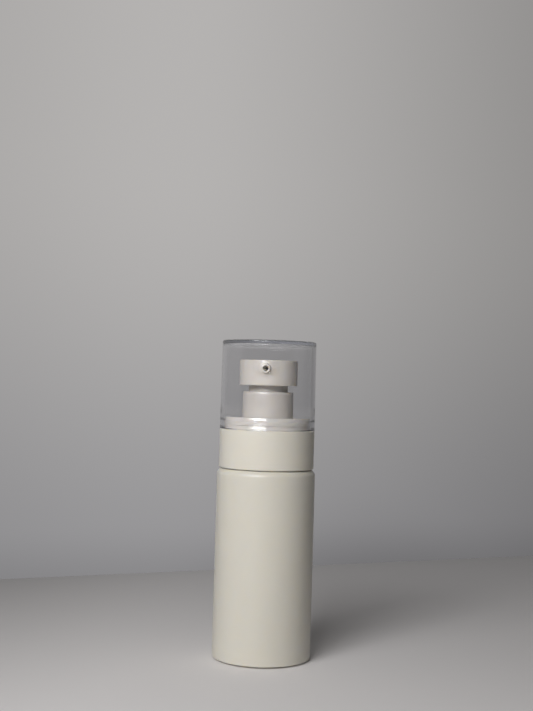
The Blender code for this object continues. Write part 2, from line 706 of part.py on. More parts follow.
def threaded_closure(parent):
    """Double walled closure: threaded wall, deck, spigot that grips the overcap, outer wall.

    The spigot grips with two bands that lean in towards their tops, with fine grooves between.
    """
    rings_top_z = DECK_TOP_Z - BAND_HEIGHT
    rings_base_z = rings_top_z - RINGS_HEIGHT
    grooves = []
    for index in range(RING_COUNT):
        valley_z = rings_top_z - RINGS_HEIGHT * (index + 0.5) / RING_COUNT
        crest_z = rings_top_z - RINGS_HEIGHT * (index + 1) / RING_COUNT
        grooves += [(BAND_R - RING_DEPTH, valley_z), (BAND_R, crest_z)]
    thread_wall_z = CLOSURE_BASE_Z + THREAD_WALL_LIFT
    closure = turned("threaded_closure", [
        (DECK_HOLE_R, DECK_UNDER_Z),
        (DECK_HOLE_R, DECK_TOP_Z),
        (BAND_R - BAND_LEAN, DECK_TOP_Z, DECK_FILLET),
        (BAND_R, rings_top_z),
        *grooves,
        (BAND_R - BAND_LEAN, rings_base_z),
        (BAND_R, COLLAR_TOP_Z + BAND_FOOT),
        (BAND_R, CLOSURE_STEP_Z),
        (CLOSURE_R, CLOSURE_STEP_Z),
        (CLOSURE_R, CLOSURE_BASE_Z),
        (SPIGOT_BORE_R, CLOSURE_BASE_Z),
        (SPIGOT_BORE_R, DECK_UNDER_Z),
        (THREAD_WALL_R, DECK_UNDER_Z),
        (THREAD_WALL_R, thread_wall_z),
        (THREAD_BORE_R, thread_wall_z),
        (THREAD_BORE_R, DECK_UNDER_Z),
    ], LARGE_STEPS, "satin_white", CLOSURE_BASE_Z)
    hang(closure, parent, CLOSURE_BASE_Z)
    for index in range(RIB_COUNT):
        combine(closure, closure_rib(index), "UNION")
    settle(closure)


def closure_rib(index):
    """Radial rib between the two walls, buried a little in both and in the deck."""
    inner = THREAD_WALL_R - RIB_BURY
    outer = SPIGOT_BORE_R + RIB_BURY
    base = CLOSURE_BASE_Z + RIB_DROP
    top = DECK_UNDER_Z + RIB_BURY
    size = (outer - inner, RIB_THICKNESS, top - base)
    turn = Matrix.Rotation(math.tau * index / RIB_COUNT, 4, "Z")
    place = turn @ Matrix.Translation(((inner + outer) / 2, 0.0, (base + top) / 2))
    return box_tool("closure_rib_%d" % index, size, place)


def outer_collar(parent):
    """Plain shell over the closure, hung on its step by an inward lip."""
    lip_r = SPIGOT_R + RUNNING_GAP
    collar = turned("outer_collar", [
        (lip_r, COLLAR_TOP_Z - COLLAR_LIP),
        (lip_r, COLLAR_TOP_Z),
        (COLLAR_R, COLLAR_TOP_Z, COLLAR_FILLET),
        (COLLAR_R, COLLAR_BASE_Z, COLLAR_FILLET),
        (COLLAR_BORE_R, COLLAR_BASE_Z),
        (COLLAR_BORE_R, COLLAR_TOP_Z - COLLAR_LIP),
    ], LARGE_STEPS, "satin_white", COLLAR_BASE_Z)
    hang(collar, parent, COLLAR_BASE_Z)
    settle(collar)


def overcap(parent):
    """Clear cap: flat roof, drafted wall, and a stepped mouth that grips the spigot."""
    top_r = OVERCAP_R - OVERCAP_DRAFT
    relief_z = DECK_TOP_Z + OVERCAP_RELIEF_SLOPE
    cap = turned("overcap", [
        (0.0, OVERCAP_TOP_Z),
        (top_r, OVERCAP_TOP_Z, OVERCAP_FILLET),
        (OVERCAP_R, OVERCAP_BASE_Z),
        (OVERCAP_BORE_R + OVERCAP_LEAD_IN, OVERCAP_BASE_Z),
        (OVERCAP_BORE_R, OVERCAP_BASE_Z + OVERCAP_LEAD_HEIGHT),
        (OVERCAP_BORE_R, DECK_TOP_Z),
        (OVERCAP_BORE_R - OVERCAP_RELIEF, relief_z),
        (top_r - OVERCAP_WALL - OVERCAP_RELIEF, OVERCAP_CEILING_Z, OVERCAP_INNER_FILLET),
        (0.0, OVERCAP_CEILING_Z),
    ], LARGE_STEPS, "clear_plastic", OVERCAP_BASE_Z, closed=False)
    hang(cap, parent, OVERCAP_BASE_Z)
    settle(cap)


def pump_stem(parent):
    """Hollow stem: a flange that pushes the piston, and a tube up to the head's socket."""
    stem = turned("pump_stem", [
        (STEM_BORE_R, STEM_BASE_Z),
        (STEM_BORE_R, STEM_TOP_Z),
        (STEM_R, STEM_TOP_Z, STEM_FILLET),
        (STEM_R, STEM_FLANGE_TOP_Z),
        (STEM_FLANGE_R, STEM_FLANGE_TOP_Z),
        (STEM_FLANGE_R, STEM_BASE_Z, STEM_FILLET),
    ], SMALL_STEPS, "natural_plastic", STEM_BASE_Z)
    hang(stem, parent, STEM_BASE_Z)
    settle(stem)


def piston_rod(parent):
    """Rod plugged in the stem: fluted shank, valve cone, spring seat and guide pin."""
    shank_top_z = STEM_BASE_Z + SHANK_REACH
    rim_top_z = CONE_TOP_Z - CONE_HEIGHT
    pin_base_z = ROD_HEAD_BASE_Z - PIN_LENGTH
    rod = turned("piston_rod", [
        (0.0, shank_top_z),
        (SHANK_R, shank_top_z, PIN_FILLET),
        (SHANK_R, CONE_TOP_Z),
        (ROD_HEAD_R, rim_top_z),
        (ROD_HEAD_R, ROD_HEAD_BASE_Z),
        (PIN_R, ROD_HEAD_BASE_Z),
        (PIN_R, pin_base_z, PIN_FILLET),
        (0.0, pin_base_z),
    ], SMALL_STEPS, "natural_plastic", ROD_HEAD_BASE_Z, closed=False)
    hang(rod, parent, ROD_HEAD_BASE_Z)
    flute_top = shank_top_z + CUT_OVERRUN
    for index in range(FLUTE_COUNT):
        combine(rod, shank_flute(index, CONE_TOP_Z, flute_top), "DIFFERENCE")
    settle(rod)


def shank_flute(index, base, top):
    """Round groove along the shank, through which the lotion rises past the rod."""
    def fill(shape):
        bmesh.ops.create_cone(shape, cap_ends=True, segments=SMALL_STEPS // 2,
                              radius1=FLUTE_DIAMETER / 2, radius2=FLUTE_DIAMETER / 2,
                              depth=top - base)
    turn = Matrix.Rotation(math.tau * (index + 0.5) / FLUTE_COUNT, 4, "Z")
    place = turn @ Matrix.Translation((SHANK_R, 0.0, (base + top) / 2))
    return cutter("shank_flute_%d" % index, fill, place)


def piston_seal(parent):
    """Piston: hub round the shank, a web, and two thin lips that wipe the chamber's wall."""
    lip_r = PISTON_BORE_R - PISTON_CLEARANCE
    web_r = lip_r - PISTON_WEB_INSET
    hub_r = PISTON_HUB_BORE_R + PISTON_HUB_WALL
    middle_z = (PISTON_TOP_Z + PISTON_BASE_Z) / 2
    web_top_z = middle_z + PISTON_WEB_HEIGHT / 2
    web_base_z = middle_z - PISTON_WEB_HEIGHT / 2
    lip_bore_r = lip_r - PISTON_LIP_WALL
    piston = turned("piston_seal", [
        (PISTON_HUB_BORE_R, PISTON_BASE_Z),
        (PISTON_HUB_BORE_R, PISTON_TOP_Z),
        (hub_r, PISTON_TOP_Z),
        (hub_r, web_top_z),
        (lip_bore_r, PISTON_TOP_Z),
        (lip_r, PISTON_TOP_Z),
        (lip_r, PISTON_TOP_Z - PISTON_LIP_HEIGHT),
        (web_r, web_top_z),
        (web_r, web_base_z),
        (lip_r, PISTON_BASE_Z + PISTON_LIP_HEIGHT),
        (lip_r, PISTON_BASE_Z),
        (lip_bore_r, PISTON_BASE_Z),
        (hub_r, web_base_z),
        (hub_r, PISTON_BASE_Z),
    ], SMALL_STEPS, "soft_seal", PISTON_BASE_Z)
    hang(piston, parent, PISTON_BASE_Z)
    settle(piston)


def actuator_shell(parent):
    """Outer head: flat top, straight wall, a locating rib inside and a flare at the nozzle."""
    rib_bore_r = SKIRT_R + RUNNING_GAP
    rib_r = rib_bore_r + LOCATING_RIB_WIDTH
    rib_base_z = HEAD_CEILING_Z - LOCATING_RIB_DEPTH
    shell = turned("actuator_shell", [
        (0.0, HEAD_TOP_Z),
        (HEAD_R, HEAD_TOP_Z, HEAD_FILLET),
        (HEAD_R, HEAD_BASE_Z, HEAD_LIP_FILLET),
        (HEAD_BORE_R, HEAD_BASE_Z),
        (HEAD_BORE_R, HEAD_CEILING_Z),
        (rib_r, HEAD_CEILING_Z),
        (rib_r, rib_base_z),
        (rib_bore_r, rib_base_z),
        (rib_bore_r, HEAD_CEILING_Z),
        (0.0, HEAD_CEILING_Z),
    ], MEDIUM_STEPS, "gloss_white", HEAD_BASE_Z, closed=False)
    hang(shell, parent, HEAD_BASE_Z)

    hole_r = NOZZLE_R + PRESS_CLEARANCE
    tip_r = hole_r + FLARE_TIP_WIDTH
    flare_start = HEAD_R - HEAD_WALL / 2
    flare = round_tool("nozzle_flare", tip_r + FLARE_WIDTH, tip_r, flare_start,
                       HEAD_R + FLARE_REACH, NOZZLE_Z)
    combine(shell, flare, "UNION")
    hole = round_tool("nozzle_hole", hole_r, hole_r, rib_bore_r - CUT_OVERRUN,
                      HEAD_R + FLARE_REACH + CUT_OVERRUN, NOZZLE_Z)
    combine(shell, hole, "DIFFERENCE")

    notch_start = rib_bore_r - CUT_OVERRUN
    notch_end = rib_r + (HEAD_BORE_R - rib_r) / 2
    notch_top = HEAD_CEILING_Z + NOTCH_RELIEF
    notch_base = rib_base_z - CUT_OVERRUN
    notch_width = (BOSS_R + RUNNING_GAP) * 2
    notch_size = (notch_width, notch_end - notch_start, notch_top - notch_base)
    place = Matrix.Translation((0.0, -(notch_start + notch_end) / 2, (notch_top + notch_base) / 2))
    combine(shell, box_tool("rib_notch", notch_size, place), "DIFFERENCE")
    settle(shell)


def actuator_core(parent):
    """Inner head: stem socket, web, telescoping skirt, and the channel to the nozzle."""
    skirt_bore_r = SKIRT_R - SKIRT_WALL
    skirt_base_z = SLEEVE_TOP_Z - SKIRT_OVERLAP
    web_base_z = CORE_TOP_Z - CORE_WEB
    riser_r = RISER_BORE / 2
    core = turned("actuator_core", [
        (0.0, CORE_TOP_Z),
        (SKIRT_R, CORE_TOP_Z),
        (SKIRT_R, skirt_base_z, SKIRT_FILLET),
        (skirt_bore_r, skirt_base_z),
        (skirt_bore_r, web_base_z),
        (SOCKET_R, web_base_z),
        (SOCKET_R, SOCKET_BASE_Z, SOCKET_FILLET),
        (SOCKET_BORE_R, SOCKET_BASE_Z),
        (SOCKET_BORE_R, SOCKET_TOP_Z),
        (riser_r, SOCKET_TOP_Z),
        (riser_r, NOZZLE_Z),
        (0.0, NOZZLE_Z),
    ], MEDIUM_STEPS, "gloss_white", skirt_base_z, closed=False)
    hang(core, parent, skirt_base_z)

    boss_end = HEAD_BORE_R - RUNNING_GAP
    boss_start = SOCKET_BORE_R + SOCKET_WALL / 2
    boss = round_tool("channel_boss", BOSS_R, BOSS_R, boss_start, boss_end, NOZZLE_Z)
    combine(core, boss, "UNION")
    channel_r = CHANNEL_DIAMETER / 2
    channel = round_tool("channel", channel_r, channel_r, 0.0, boss_end + CUT_OVERRUN, NOZZLE_Z)
    combine(core, channel, "DIFFERENCE")
    plug_end = boss_end - NOZZLE_PLUG_LENGTH
    seat = round_tool("plug_seat", PLUG_BORE_R, PLUG_BORE_R, plug_end, boss_end + CUT_OVERRUN,
                      NOZZLE_Z)
    combine(core, seat, "DIFFERENCE")
    settle(core)


def nozzle_insert(parent):
    """Short spout through the shell, plugged in the core's channel, with a stepped mouth."""
    tip = HEAD_R + NOZZLE_REACH
    shoulder = HEAD_BORE_R
    plug_end = shoulder - NOZZLE_PLUG_LENGTH
    bore_r = NOZZLE_BORE / 2
    mouth_r = NOZZLE_MOUTH_BORE / 2
    mouth_floor = tip - NOZZLE_MOUTH_DEPTH
    insert = turned("nozzle_insert", [
        (bore_r, plug_end),
        (bore_r, mouth_floor - NOZZLE_MOUTH_SLOPE),
        (mouth_r, mouth_floor),
        (mouth_r, tip - NOZZLE_CHAMFER),
        (NOZZLE_CREST_DIAMETER / 2, tip, NOZZLE_FILLET),
        (NOZZLE_R, tip - NOZZLE_LEAN),
        (NOZZLE_R, shoulder),
        (NOZZLE_PLUG_R, shoulder),
        (NOZZLE_PLUG_R, plug_end),
    ], SMALL_STEPS, "gloss_white", plug_end)
    hang(insert, parent, NOZZLE_Z, plug_end)
    insert.rotation_euler.x = math.pi / 2
    settle(insert)


def main():
    """Build every piece on the empty that stands for what carries it."""
    clear_scene()
    ground = carrier("bottle_axis", 0.0)
    pump = carrier("pump_axis", NECK_TOP_Z, ground)
    closure = carrier("closure_axis", CLOSURE_BASE_Z, pump)
    cap = carrier("overcap_axis", OVERCAP_BASE_Z, closure)
    stem = carrier("stem_axis", STEM_BASE_Z, pump)
    head = carrier("actuator_axis", HEAD_BASE_Z, stem)
    piston = carrier("piston_axis", PISTON_BASE_Z, pump)
    ball = carrier("ball_axis", BALL_Z, pump)

    bottle_body(ground)
    for make in (neck_gasket, pump_housing, stem_guide, guide_sleeve, return_spring, dip_tube):
        make(pump)
    for make in (threaded_closure, outer_collar):
        make(closure)
    overcap(cap)
    for make in (pump_stem, piston_rod):
        make(stem)
    for make in (actuator_shell, actuator_core, nozzle_insert):
        make(head)
    piston_seal(piston)
    inlet_ball(ball)


main()
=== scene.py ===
# %% [markdown]
# # A cosmetic lotion pump bottle under a clear overcap
#
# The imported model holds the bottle's pieces at their real size.  This lesson dresses it: it
# turns a smooth surface for each piece, gives each finish its own material, and lights the
# bottle like a small product shot.  Everything is in metres, and the bottle stands on z = 0
# with its nozzle along -Y.

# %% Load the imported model
import math

import bmesh
import bpy
import numpy as np
from mathutils import Matrix, Vector


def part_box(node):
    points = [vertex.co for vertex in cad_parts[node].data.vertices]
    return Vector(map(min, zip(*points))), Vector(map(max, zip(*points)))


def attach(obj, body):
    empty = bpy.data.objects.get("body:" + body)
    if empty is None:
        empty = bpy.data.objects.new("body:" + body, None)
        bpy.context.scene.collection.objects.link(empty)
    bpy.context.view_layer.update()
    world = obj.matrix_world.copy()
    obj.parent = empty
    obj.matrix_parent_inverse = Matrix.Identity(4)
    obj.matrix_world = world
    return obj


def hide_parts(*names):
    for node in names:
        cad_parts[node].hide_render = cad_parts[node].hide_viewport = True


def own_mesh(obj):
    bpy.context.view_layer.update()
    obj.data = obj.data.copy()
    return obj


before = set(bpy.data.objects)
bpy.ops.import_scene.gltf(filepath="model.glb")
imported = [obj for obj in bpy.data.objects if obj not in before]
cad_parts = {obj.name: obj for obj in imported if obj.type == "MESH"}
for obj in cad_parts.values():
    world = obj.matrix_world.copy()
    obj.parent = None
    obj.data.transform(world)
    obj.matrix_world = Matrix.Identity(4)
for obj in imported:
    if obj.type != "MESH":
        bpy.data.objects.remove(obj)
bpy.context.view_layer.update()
MM = 0.001


# %% [markdown]
# ## The camera
#
# The photograph is a close portrait from the height of the pump's head, and the camera was held
# with a slight roll.  The camera stands on a small rig: the rig is turned about the bottle until
# the nozzle sits just left of its axis, and the camera is panned, tilted and rolled on it.

# %% Place the camera
SENSOR = 36.0
LENS = 58.76
CAMERA_DISTANCE = 475 * MM
CAMERA_HEIGHT = 113.07 * MM
CAMERA_SIDE = 2.38 * MM
RIG_TURN = math.radians(5.0)
CAMERA_PAN = math.radians(0.426)
CAMERA_TILT = math.radians(1.19)
CAMERA_ROLL = math.radians(1.63)


def turn_about(axis, angle):
    """Rotation matrix about one axis of space."""
    return Matrix.Rotation(angle, 4, axis)


def place_camera():
    """Stand the camera on its rig: turn about the bottle, then pan, tilt and roll."""
    data = bpy.data.cameras.new("product_camera")
    data.sensor_width = SENSOR
    data.lens = LENS
    data.clip_start = 0.01
    data.clip_end = 20.0
    camera = bpy.data.objects.new("product_camera", data)
    bpy.context.scene.collection.objects.link(camera)
    stand = Matrix.Translation((CAMERA_SIDE, -CAMERA_DISTANCE, CAMERA_HEIGHT))
    aim = (turn_about("Z", CAMERA_PAN) @ turn_about("X", math.pi / 2 + CAMERA_TILT)
           @ turn_about("Z", CAMERA_ROLL))
    camera.matrix_world = turn_about("Z", RIG_TURN) @ stand @ aim
    bpy.context.scene.camera = camera
    return camera


camera = place_camera()
print("camera at", [round(value / MM, 1) for value in camera.matrix_world.translation], "mm")


# %% [markdown]
# ## Shapes turned from a profile
#
# Bottles, caps and pump parts are round, so nearly every piece here is a profile turned about
# an axis.  A profile is a short list of corners, and each corner may name a fillet, as on a
# drawing.  The corners are rounded first, and the rounded line is then swept round as one
# grid of points worked out with numpy.  Blender's Screw and Bevel modifiers could do the same,
# but a grid keeps the rows straight and the poles closed, and a second function may move its
# points, which is how the threads, ribs and flutes are cut.

# %% Round the corners of a profile
ARC_POINTS = 8
LARGEST_SHARE = 0.48
LONGEST_ROW = 2.0 * MM

# Four fillets return on most pieces, from nearly sharp to well eased.
CRISP = 0.1 * MM
FINE = 0.15 * MM
EASED = 0.2 * MM
SOFT = 0.3 * MM


def corner_arc(before, corner, after, fillet):
    """Arc that touches both sides of a corner at fillet / tan(half angle) from it.

    The centre lies on the corner's bisector at fillet / sin(half angle), and the arc's points
    are centre + fillet * (cos t, sin t) for evenly spaced t.  Short sides make it smaller.
    """
    sides = np.array([before, after]) - corner
    lengths = np.linalg.norm(sides, axis=1)
    units = sides / lengths[:, None]
    half = math.acos(np.clip(units[0] @ units[1], -1.0, 1.0)) / 2
    reach = min(fillet / math.tan(half), LARGEST_SHARE * lengths.min())
    radius = reach * math.tan(half)
    bisector = units.sum(axis=0)
    centre = corner + bisector / np.linalg.norm(bisector) * radius / math.sin(half)
    ends = corner + units * reach - centre
    first, last = np.arctan2(ends[:, 1], ends[:, 0])
    sweep = (last - first + math.pi) % math.tau - math.pi
    angles = first + sweep * np.linspace(0.0, 1.0, ARC_POINTS)
    return centre + radius * np.stack([np.cos(angles), np.sin(angles)], axis=1)


def rounded(corners, closed=True):
    """Profile as an array of (radius, height), each corner (r, z, fillet) drawn as an arc."""
    plain = np.array([corner[:2] for corner in corners], float)
    runs = []
    for index, corner in enumerate(corners):
        at_end = not closed and index in (0, len(corners) - 1)
        if len(corner) < 3 or at_end:
            runs.append(plain[index:index + 1])
            continue
        following = plain[(index + 1) % len(corners)]
        runs.append(corner_arc(plain[index - 1], plain[index], following, corner[2]))
    return np.concatenate(runs)


def outline(corners, longest=LONGEST_ROW, closed=True):
    """Rounded profile whose long straight sides are split evenly into steps up to longest."""
    profile = rounded(corners, closed)
    ends = np.roll(profile, -1, axis=0) if closed else profile[1:]
    runs = []
    for start, end in zip(profile, ends):
        count = max(1, math.ceil(np.linalg.norm(end - start) / longest))
        shares = np.arange(count)[:, None] / count
        runs.append(start + (end - start) * shares)
    if not closed:
        runs.append(profile[-1:])
    return np.concatenate(runs)


print("profile tools ready, with", ARC_POINTS, "points to an arc")

# %% Turn a profile about an axis
SEGMENTS = 180
FINE_SEGMENTS = 360


def grid_faces(rows, columns, closed_rows):
    """Quads of a grid whose columns close round the axis, and whose rows may close too."""
    last = rows if closed_rows else rows - 1
    row, column = np.meshgrid(np.arange(last), np.arange(columns), indexing="ij")
    below, beside = (row + 1) % rows, (column + 1) % columns
    corners = [row * columns + column, below * columns + column,
               below * columns + beside, row * columns + beside]
    return np.stack(corners, axis=-1).reshape(-1, 4)


def turned(profile, segments=SEGMENTS, shift=None):
    """Points x = r cos a, y = r sin a, z = height, for each profile point and each angle a.

    A profile that begins on the axis also ends there, and any other closes on itself.
    shift(r, z, a) may return changed radii and heights, worked out on whole arrays.
    """
    angle = np.arange(segments) * math.tau / segments
    radius, angle = np.meshgrid(profile[:, 0], angle, indexing="ij")
    height = np.repeat(profile[:, 1:2], segments, axis=1)
    if shift:
        radius, height = shift(radius, height, angle)
    points = np.stack([radius * np.cos(angle), radius * np.sin(angle), height], axis=-1)
    return points.reshape(-1, 3), grid_faces(len(profile), segments, profile[0, 0] > 0.0)


def ahead(profile, height, segments=72):
    """Shape turned about an axis at a height, with the profile's heights counted along -Y."""
    points, faces = turned(profile, segments)
    return np.stack([points[:, 0], -points[:, 2], points[:, 1] + height], axis=-1), faces


print("a full turn has", SEGMENTS, "segments, or", FINE_SEGMENTS, "where it needs fine steps")

# %% Make an object of a shape
SMOOTH_ANGLE = math.radians(35)
WELD = 0.002 * MM

pieces = bpy.data.collections.new("bottle_pieces")
bpy.context.scene.collection.children.link(pieces)


def mesh_of(name, points, faces):
    """Mesh of those points, welded and with its faces pointing out."""
    mesh = bpy.data.meshes.new(name)
    mesh.from_pydata(points.tolist(), [], faces.tolist())
    shape = bmesh.new()
    shape.from_mesh(mesh)
    bmesh.ops.remove_doubles(shape, verts=shape.verts, dist=WELD)
    bmesh.ops.recalc_face_normals(shape, faces=shape.faces)
    shape.to_mesh(mesh)
    shape.free()
    return mesh


def piece(name, shape, body, material, replaces):
    """Object of a mesh or of (points, faces), riding on its CAD body in place of its node."""
    mesh = shape if isinstance(shape, bpy.types.Mesh) else mesh_of(name, *shape)
    mesh.shade_smooth()
    mesh.set_sharp_from_angle(angle=SMOOTH_ANGLE)
    made = bpy.data.objects.new(name, mesh)
    mesh.materials.append(material)
    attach(made, body)
    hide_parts(replaces)
    pieces.objects.link(made)
    print("%-16s %6d faces on %s" % (name, len(mesh.polygons), body))
    return made


def worked(name, base, *steps):
    """Mesh of a base shape after each step (operation, tool shape) of exact Booleans."""
    collection = bpy.context.scene.collection
    part = bpy.data.objects.new(name, mesh_of(name, *base))
    tools = [bpy.data.objects.new(name + "_tool", mesh_of(name, *tool)) for _, tool in steps]
    for made in (part, *tools):
        collection.objects.link(made)
    for (operation, _), tool in zip(steps, tools):
        change = part.modifiers.new("work", "BOOLEAN")
        change.operation = operation
        change.solver = "EXACT"
        change.object = tool
    bpy.context.view_layer.update()
    ready = part.evaluated_get(bpy.context.evaluated_depsgraph_get())
    mesh = bpy.data.meshes.new_from_object(ready)
    for made in (part, *tools):
        bpy.data.objects.remove(made)
    return mesh


print("points closer than %.3f mm become one" % (WELD / MM))


# %% [markdown]
# ## The white plastics
#
# A plastic's look is mostly its gloss.  The bottle and collar have the satin of a fine spark
# eroded mould: a rough surface lobe, and a grain far too fine to see by itself that breaks up
# reflections.  The head is polished a little more, and the closure is glossy.  The pump's
# plastic is unpigmented and lets part of the light through.  One recipe with a few numbers makes
# them all, so they look like one family.  Patterns read Object coordinates, so they stay on the
# piece when it moves.

# %% Add and link nodes in one call
def dress(node, sockets):
    """Give a node's inputs plain values, or links from other nodes' outputs."""
    for name, value in sockets.items():
        if isinstance(value, bpy.types.NodeSocket):
            node.id_data.links.new(value, node.inputs[name])
        else:
            node.inputs[name].default_value = value


def add(tree, kind, output, sockets=None, **settings):
    """New node of a kind, with its settings and inputs, as one of its outputs."""
    node = tree.nodes.new("ShaderNode" + kind)
    for name, value in settings.items():
        setattr(node, name, value)
    dress(node, sockets or {})
    return node.outputs[output]


def noise(tree, scale, detail=3.0, squeeze=(1.0, 1.0, 1.0)):
    """Noise over Object coordinates, with scale in features per metre."""
    place = add(tree, "TexCoord", "Object")
    mapped = add(tree, "Mapping", "Vector", {"Vector": place, "Scale": squeeze})
    return add(tree, "TexNoise", "Fac", {"Vector": mapped, "Scale": scale, "Detail": detail})


def ramp(tree, value, start, end, low=0.0, high=1.0, kind="SMOOTHSTEP"):
    """Step of a value from low at start to high at end, smooth or straight."""
    ends = {"From Min": start, "From Max": end, "To Min": low, "To Max": high}
    return add(tree, "MapRange", "Result", {"Value": value, **ends}, interpolation_type=kind)


def ranged(tree, value, low, high):
    """A 0 to 1 value spread evenly between two others."""
    return ramp(tree, value, 0.0, 1.0, low, high, "LINEAR")


def tinted(tree, value, dark, light):
    """Colour between two tones by a 0 to 1 value."""
    sockets = {"Factor": value, "A": (*dark, 1.0), "B": (*light, 1.0)}
    return add(tree, "Mix", "Result", sockets, data_type="RGBA")


def bump(tree, value, strength, distance, under=None):
    """Bump from a value, on top of another bump if there is one."""
    sockets = {"Height": value, "Strength": strength, "Distance": distance}
    if under:
        sockets["Normal"] = under
    return add(tree, "Bump", "Normal", sockets)


def new_material(name):
    """Material with its node tree and the tree's Principled shader."""
    material = bpy.data.materials.new(name)
    material.use_nodes = True
    print("finish:", name)
    return material, material.node_tree, material.node_tree.nodes["Principled BSDF"]


print("node helpers ready, with noise in features per metre")

# %% Mix the white plastics
PLASTIC_IOR = 1.5
CLOUD_SCALE = 55.0
CLOUD_SQUEEZE = (1.0, 1.0, 0.45)
CLOUDINESS = 0.012
GLOSS_SCALE = 160.0
GLOSS_SPREAD = 0.05
PEEL_SCALE = 420.0
PEEL_STRENGTH = 0.10
PEEL_DEPTH = 0.02 * MM
GRAIN_SCALE = 3200.0
GRAIN_DEPTH = 0.012 * MM
SCATTER_WEIGHT = 0.6
SCATTER_RADIUS = (1.0, 0.9, 0.7)
SCATTER_DEPTH = 0.6 * MM


def moulded_plastic(name, colour, roughness, grain, extra=None):
    """White moulded plastic: faint cloudiness, uneven gloss, orange peel and fine grain.

    Part of the light scatters a little way under the surface, which softens edges and seams.
    """
    material, tree, shader = new_material(name)
    clouds = noise(tree, CLOUD_SCALE, 4.0, CLOUD_SQUEEZE)
    dark = [value * (1 - CLOUDINESS) for value in colour]
    light = [min(1.0, value * (1 + CLOUDINESS)) for value in colour]
    gloss = (roughness - GLOSS_SPREAD, roughness + GLOSS_SPREAD)
    peel = bump(tree, noise(tree, PEEL_SCALE, 2.0), PEEL_STRENGTH, PEEL_DEPTH)
    dress(shader, {
        "Base Color": tinted(tree, clouds, dark, light),
        "Roughness": ranged(tree, noise(tree, GLOSS_SCALE), *gloss),
        "Normal": bump(tree, noise(tree, GRAIN_SCALE, 2.0), grain, GRAIN_DEPTH, peel),
        "IOR": PLASTIC_IOR,
        "Subsurface Weight": SCATTER_WEIGHT,
        "Subsurface Radius": SCATTER_RADIUS,
        "Subsurface Scale": SCATTER_DEPTH,
        **(extra or {}),
    })
    return material


BOTTLE_WHITE = (0.735, 0.705, 0.625)
COLLAR_WHITE = (0.771, 0.737, 0.656)
CLOSURE_WHITE = (0.92, 0.87, 0.82)
HEAD_WHITE = (0.862, 0.812, 0.755)
# The sleeve's white is the head's white made about an eighth darker: painted shade, so that the
# sleeve reads darker than the head.
SLEEVE_SHADED_WHITE = (0.765, 0.719, 0.676)
NATURAL = (0.800, 0.800, 0.760)
SEAL_WHITE = (0.860, 0.850, 0.800)
POLISH = {"IOR": 1.56, "Coat Weight": 1.0, "Coat IOR": 1.65, "Coat Roughness": 0.04}
HEAD_SHEEN = {"IOR": 1.62}
LETS_LIGHT_IN = {"Transmission Weight": 0.35}

satin_bottle = moulded_plastic("satin_bottle", BOTTLE_WHITE, 0.33, 0.30)
satin_collar = moulded_plastic("satin_collar", COLLAR_WHITE, 0.44, 0.28)
closure_white = moulded_plastic("closure_white", CLOSURE_WHITE, 0.07, 0.02, POLISH)
# The inner head wears the closure's paler white instead of the head's: painted light that lifts its
# skirt, which sits in the shade under the head.
satin_core_lightened = moulded_plastic("satin_core_lightened", CLOSURE_WHITE, 0.36, 0.12)
satin_head = moulded_plastic("satin_head", HEAD_WHITE, 0.30, 0.12, HEAD_SHEEN)
# The sleeve wears that darker copy of the head's white, which is painted shade.
satin_sleeve_shaded = moulded_plastic("satin_sleeve_shaded", SLEEVE_SHADED_WHITE, 0.31, 0.10, HEAD_SHEEN)
natural_pump = moulded_plastic("natural_pump", NATURAL, 0.32, 0.10, LETS_LIGHT_IN)
soft_seal = moulded_plastic("soft_seal", SEAL_WHITE, 0.50, 0.20)


# %% [markdown]
# ## The clear cap and the steel
#
# The overcap is clear styrene with a faint grey tint.  A plain glass shader would draw its wall
# well, but a path tracer finds lamps poorly through a refracting wall, and the pump inside would
# be noisy and dark.  So the wall refracts what is seen, and lets the lamps through like a film.
# The spring and the ball are stainless steel, whose fine marks come from stretched noise.

# %% Build the clear and the metal finish
CLEAR_TINT = (0.885, 0.885, 0.889)
FILM_TINT = (0.985, 0.985, 0.985)
DEPTH_TINT = (0.870, 0.880, 0.905)
DEPTH_DENSITY = 100.0
WALL_ROUGHNESS = 0.03
ROOF_ROUGHNESS = 0.18
DULL_FROM = 4.0 * MM
DULL_FULLY = 1.5 * MM
STYRENE_IOR = 1.55
RIPPLE_SCALE = 70.0
RIPPLE_STRENGTH = 0.02
RIPPLE_DEPTH = 0.02 * MM
STEEL_DARK = (0.52, 0.51, 0.49)
STEEL_LIGHT = (0.68, 0.67, 0.65)
STEEL_ROUGHNESS = (0.16, 0.30)
MARK_SCALE = 900.0
MARK_SQUEEZE = (0.4, 0.4, 3.0)


def place_in(tree, axis):
    """One Object coordinate of the surface, in metres."""
    return add(tree, "SeparateXYZ", axis, {"Vector": add(tree, "TexCoord", "Object")})


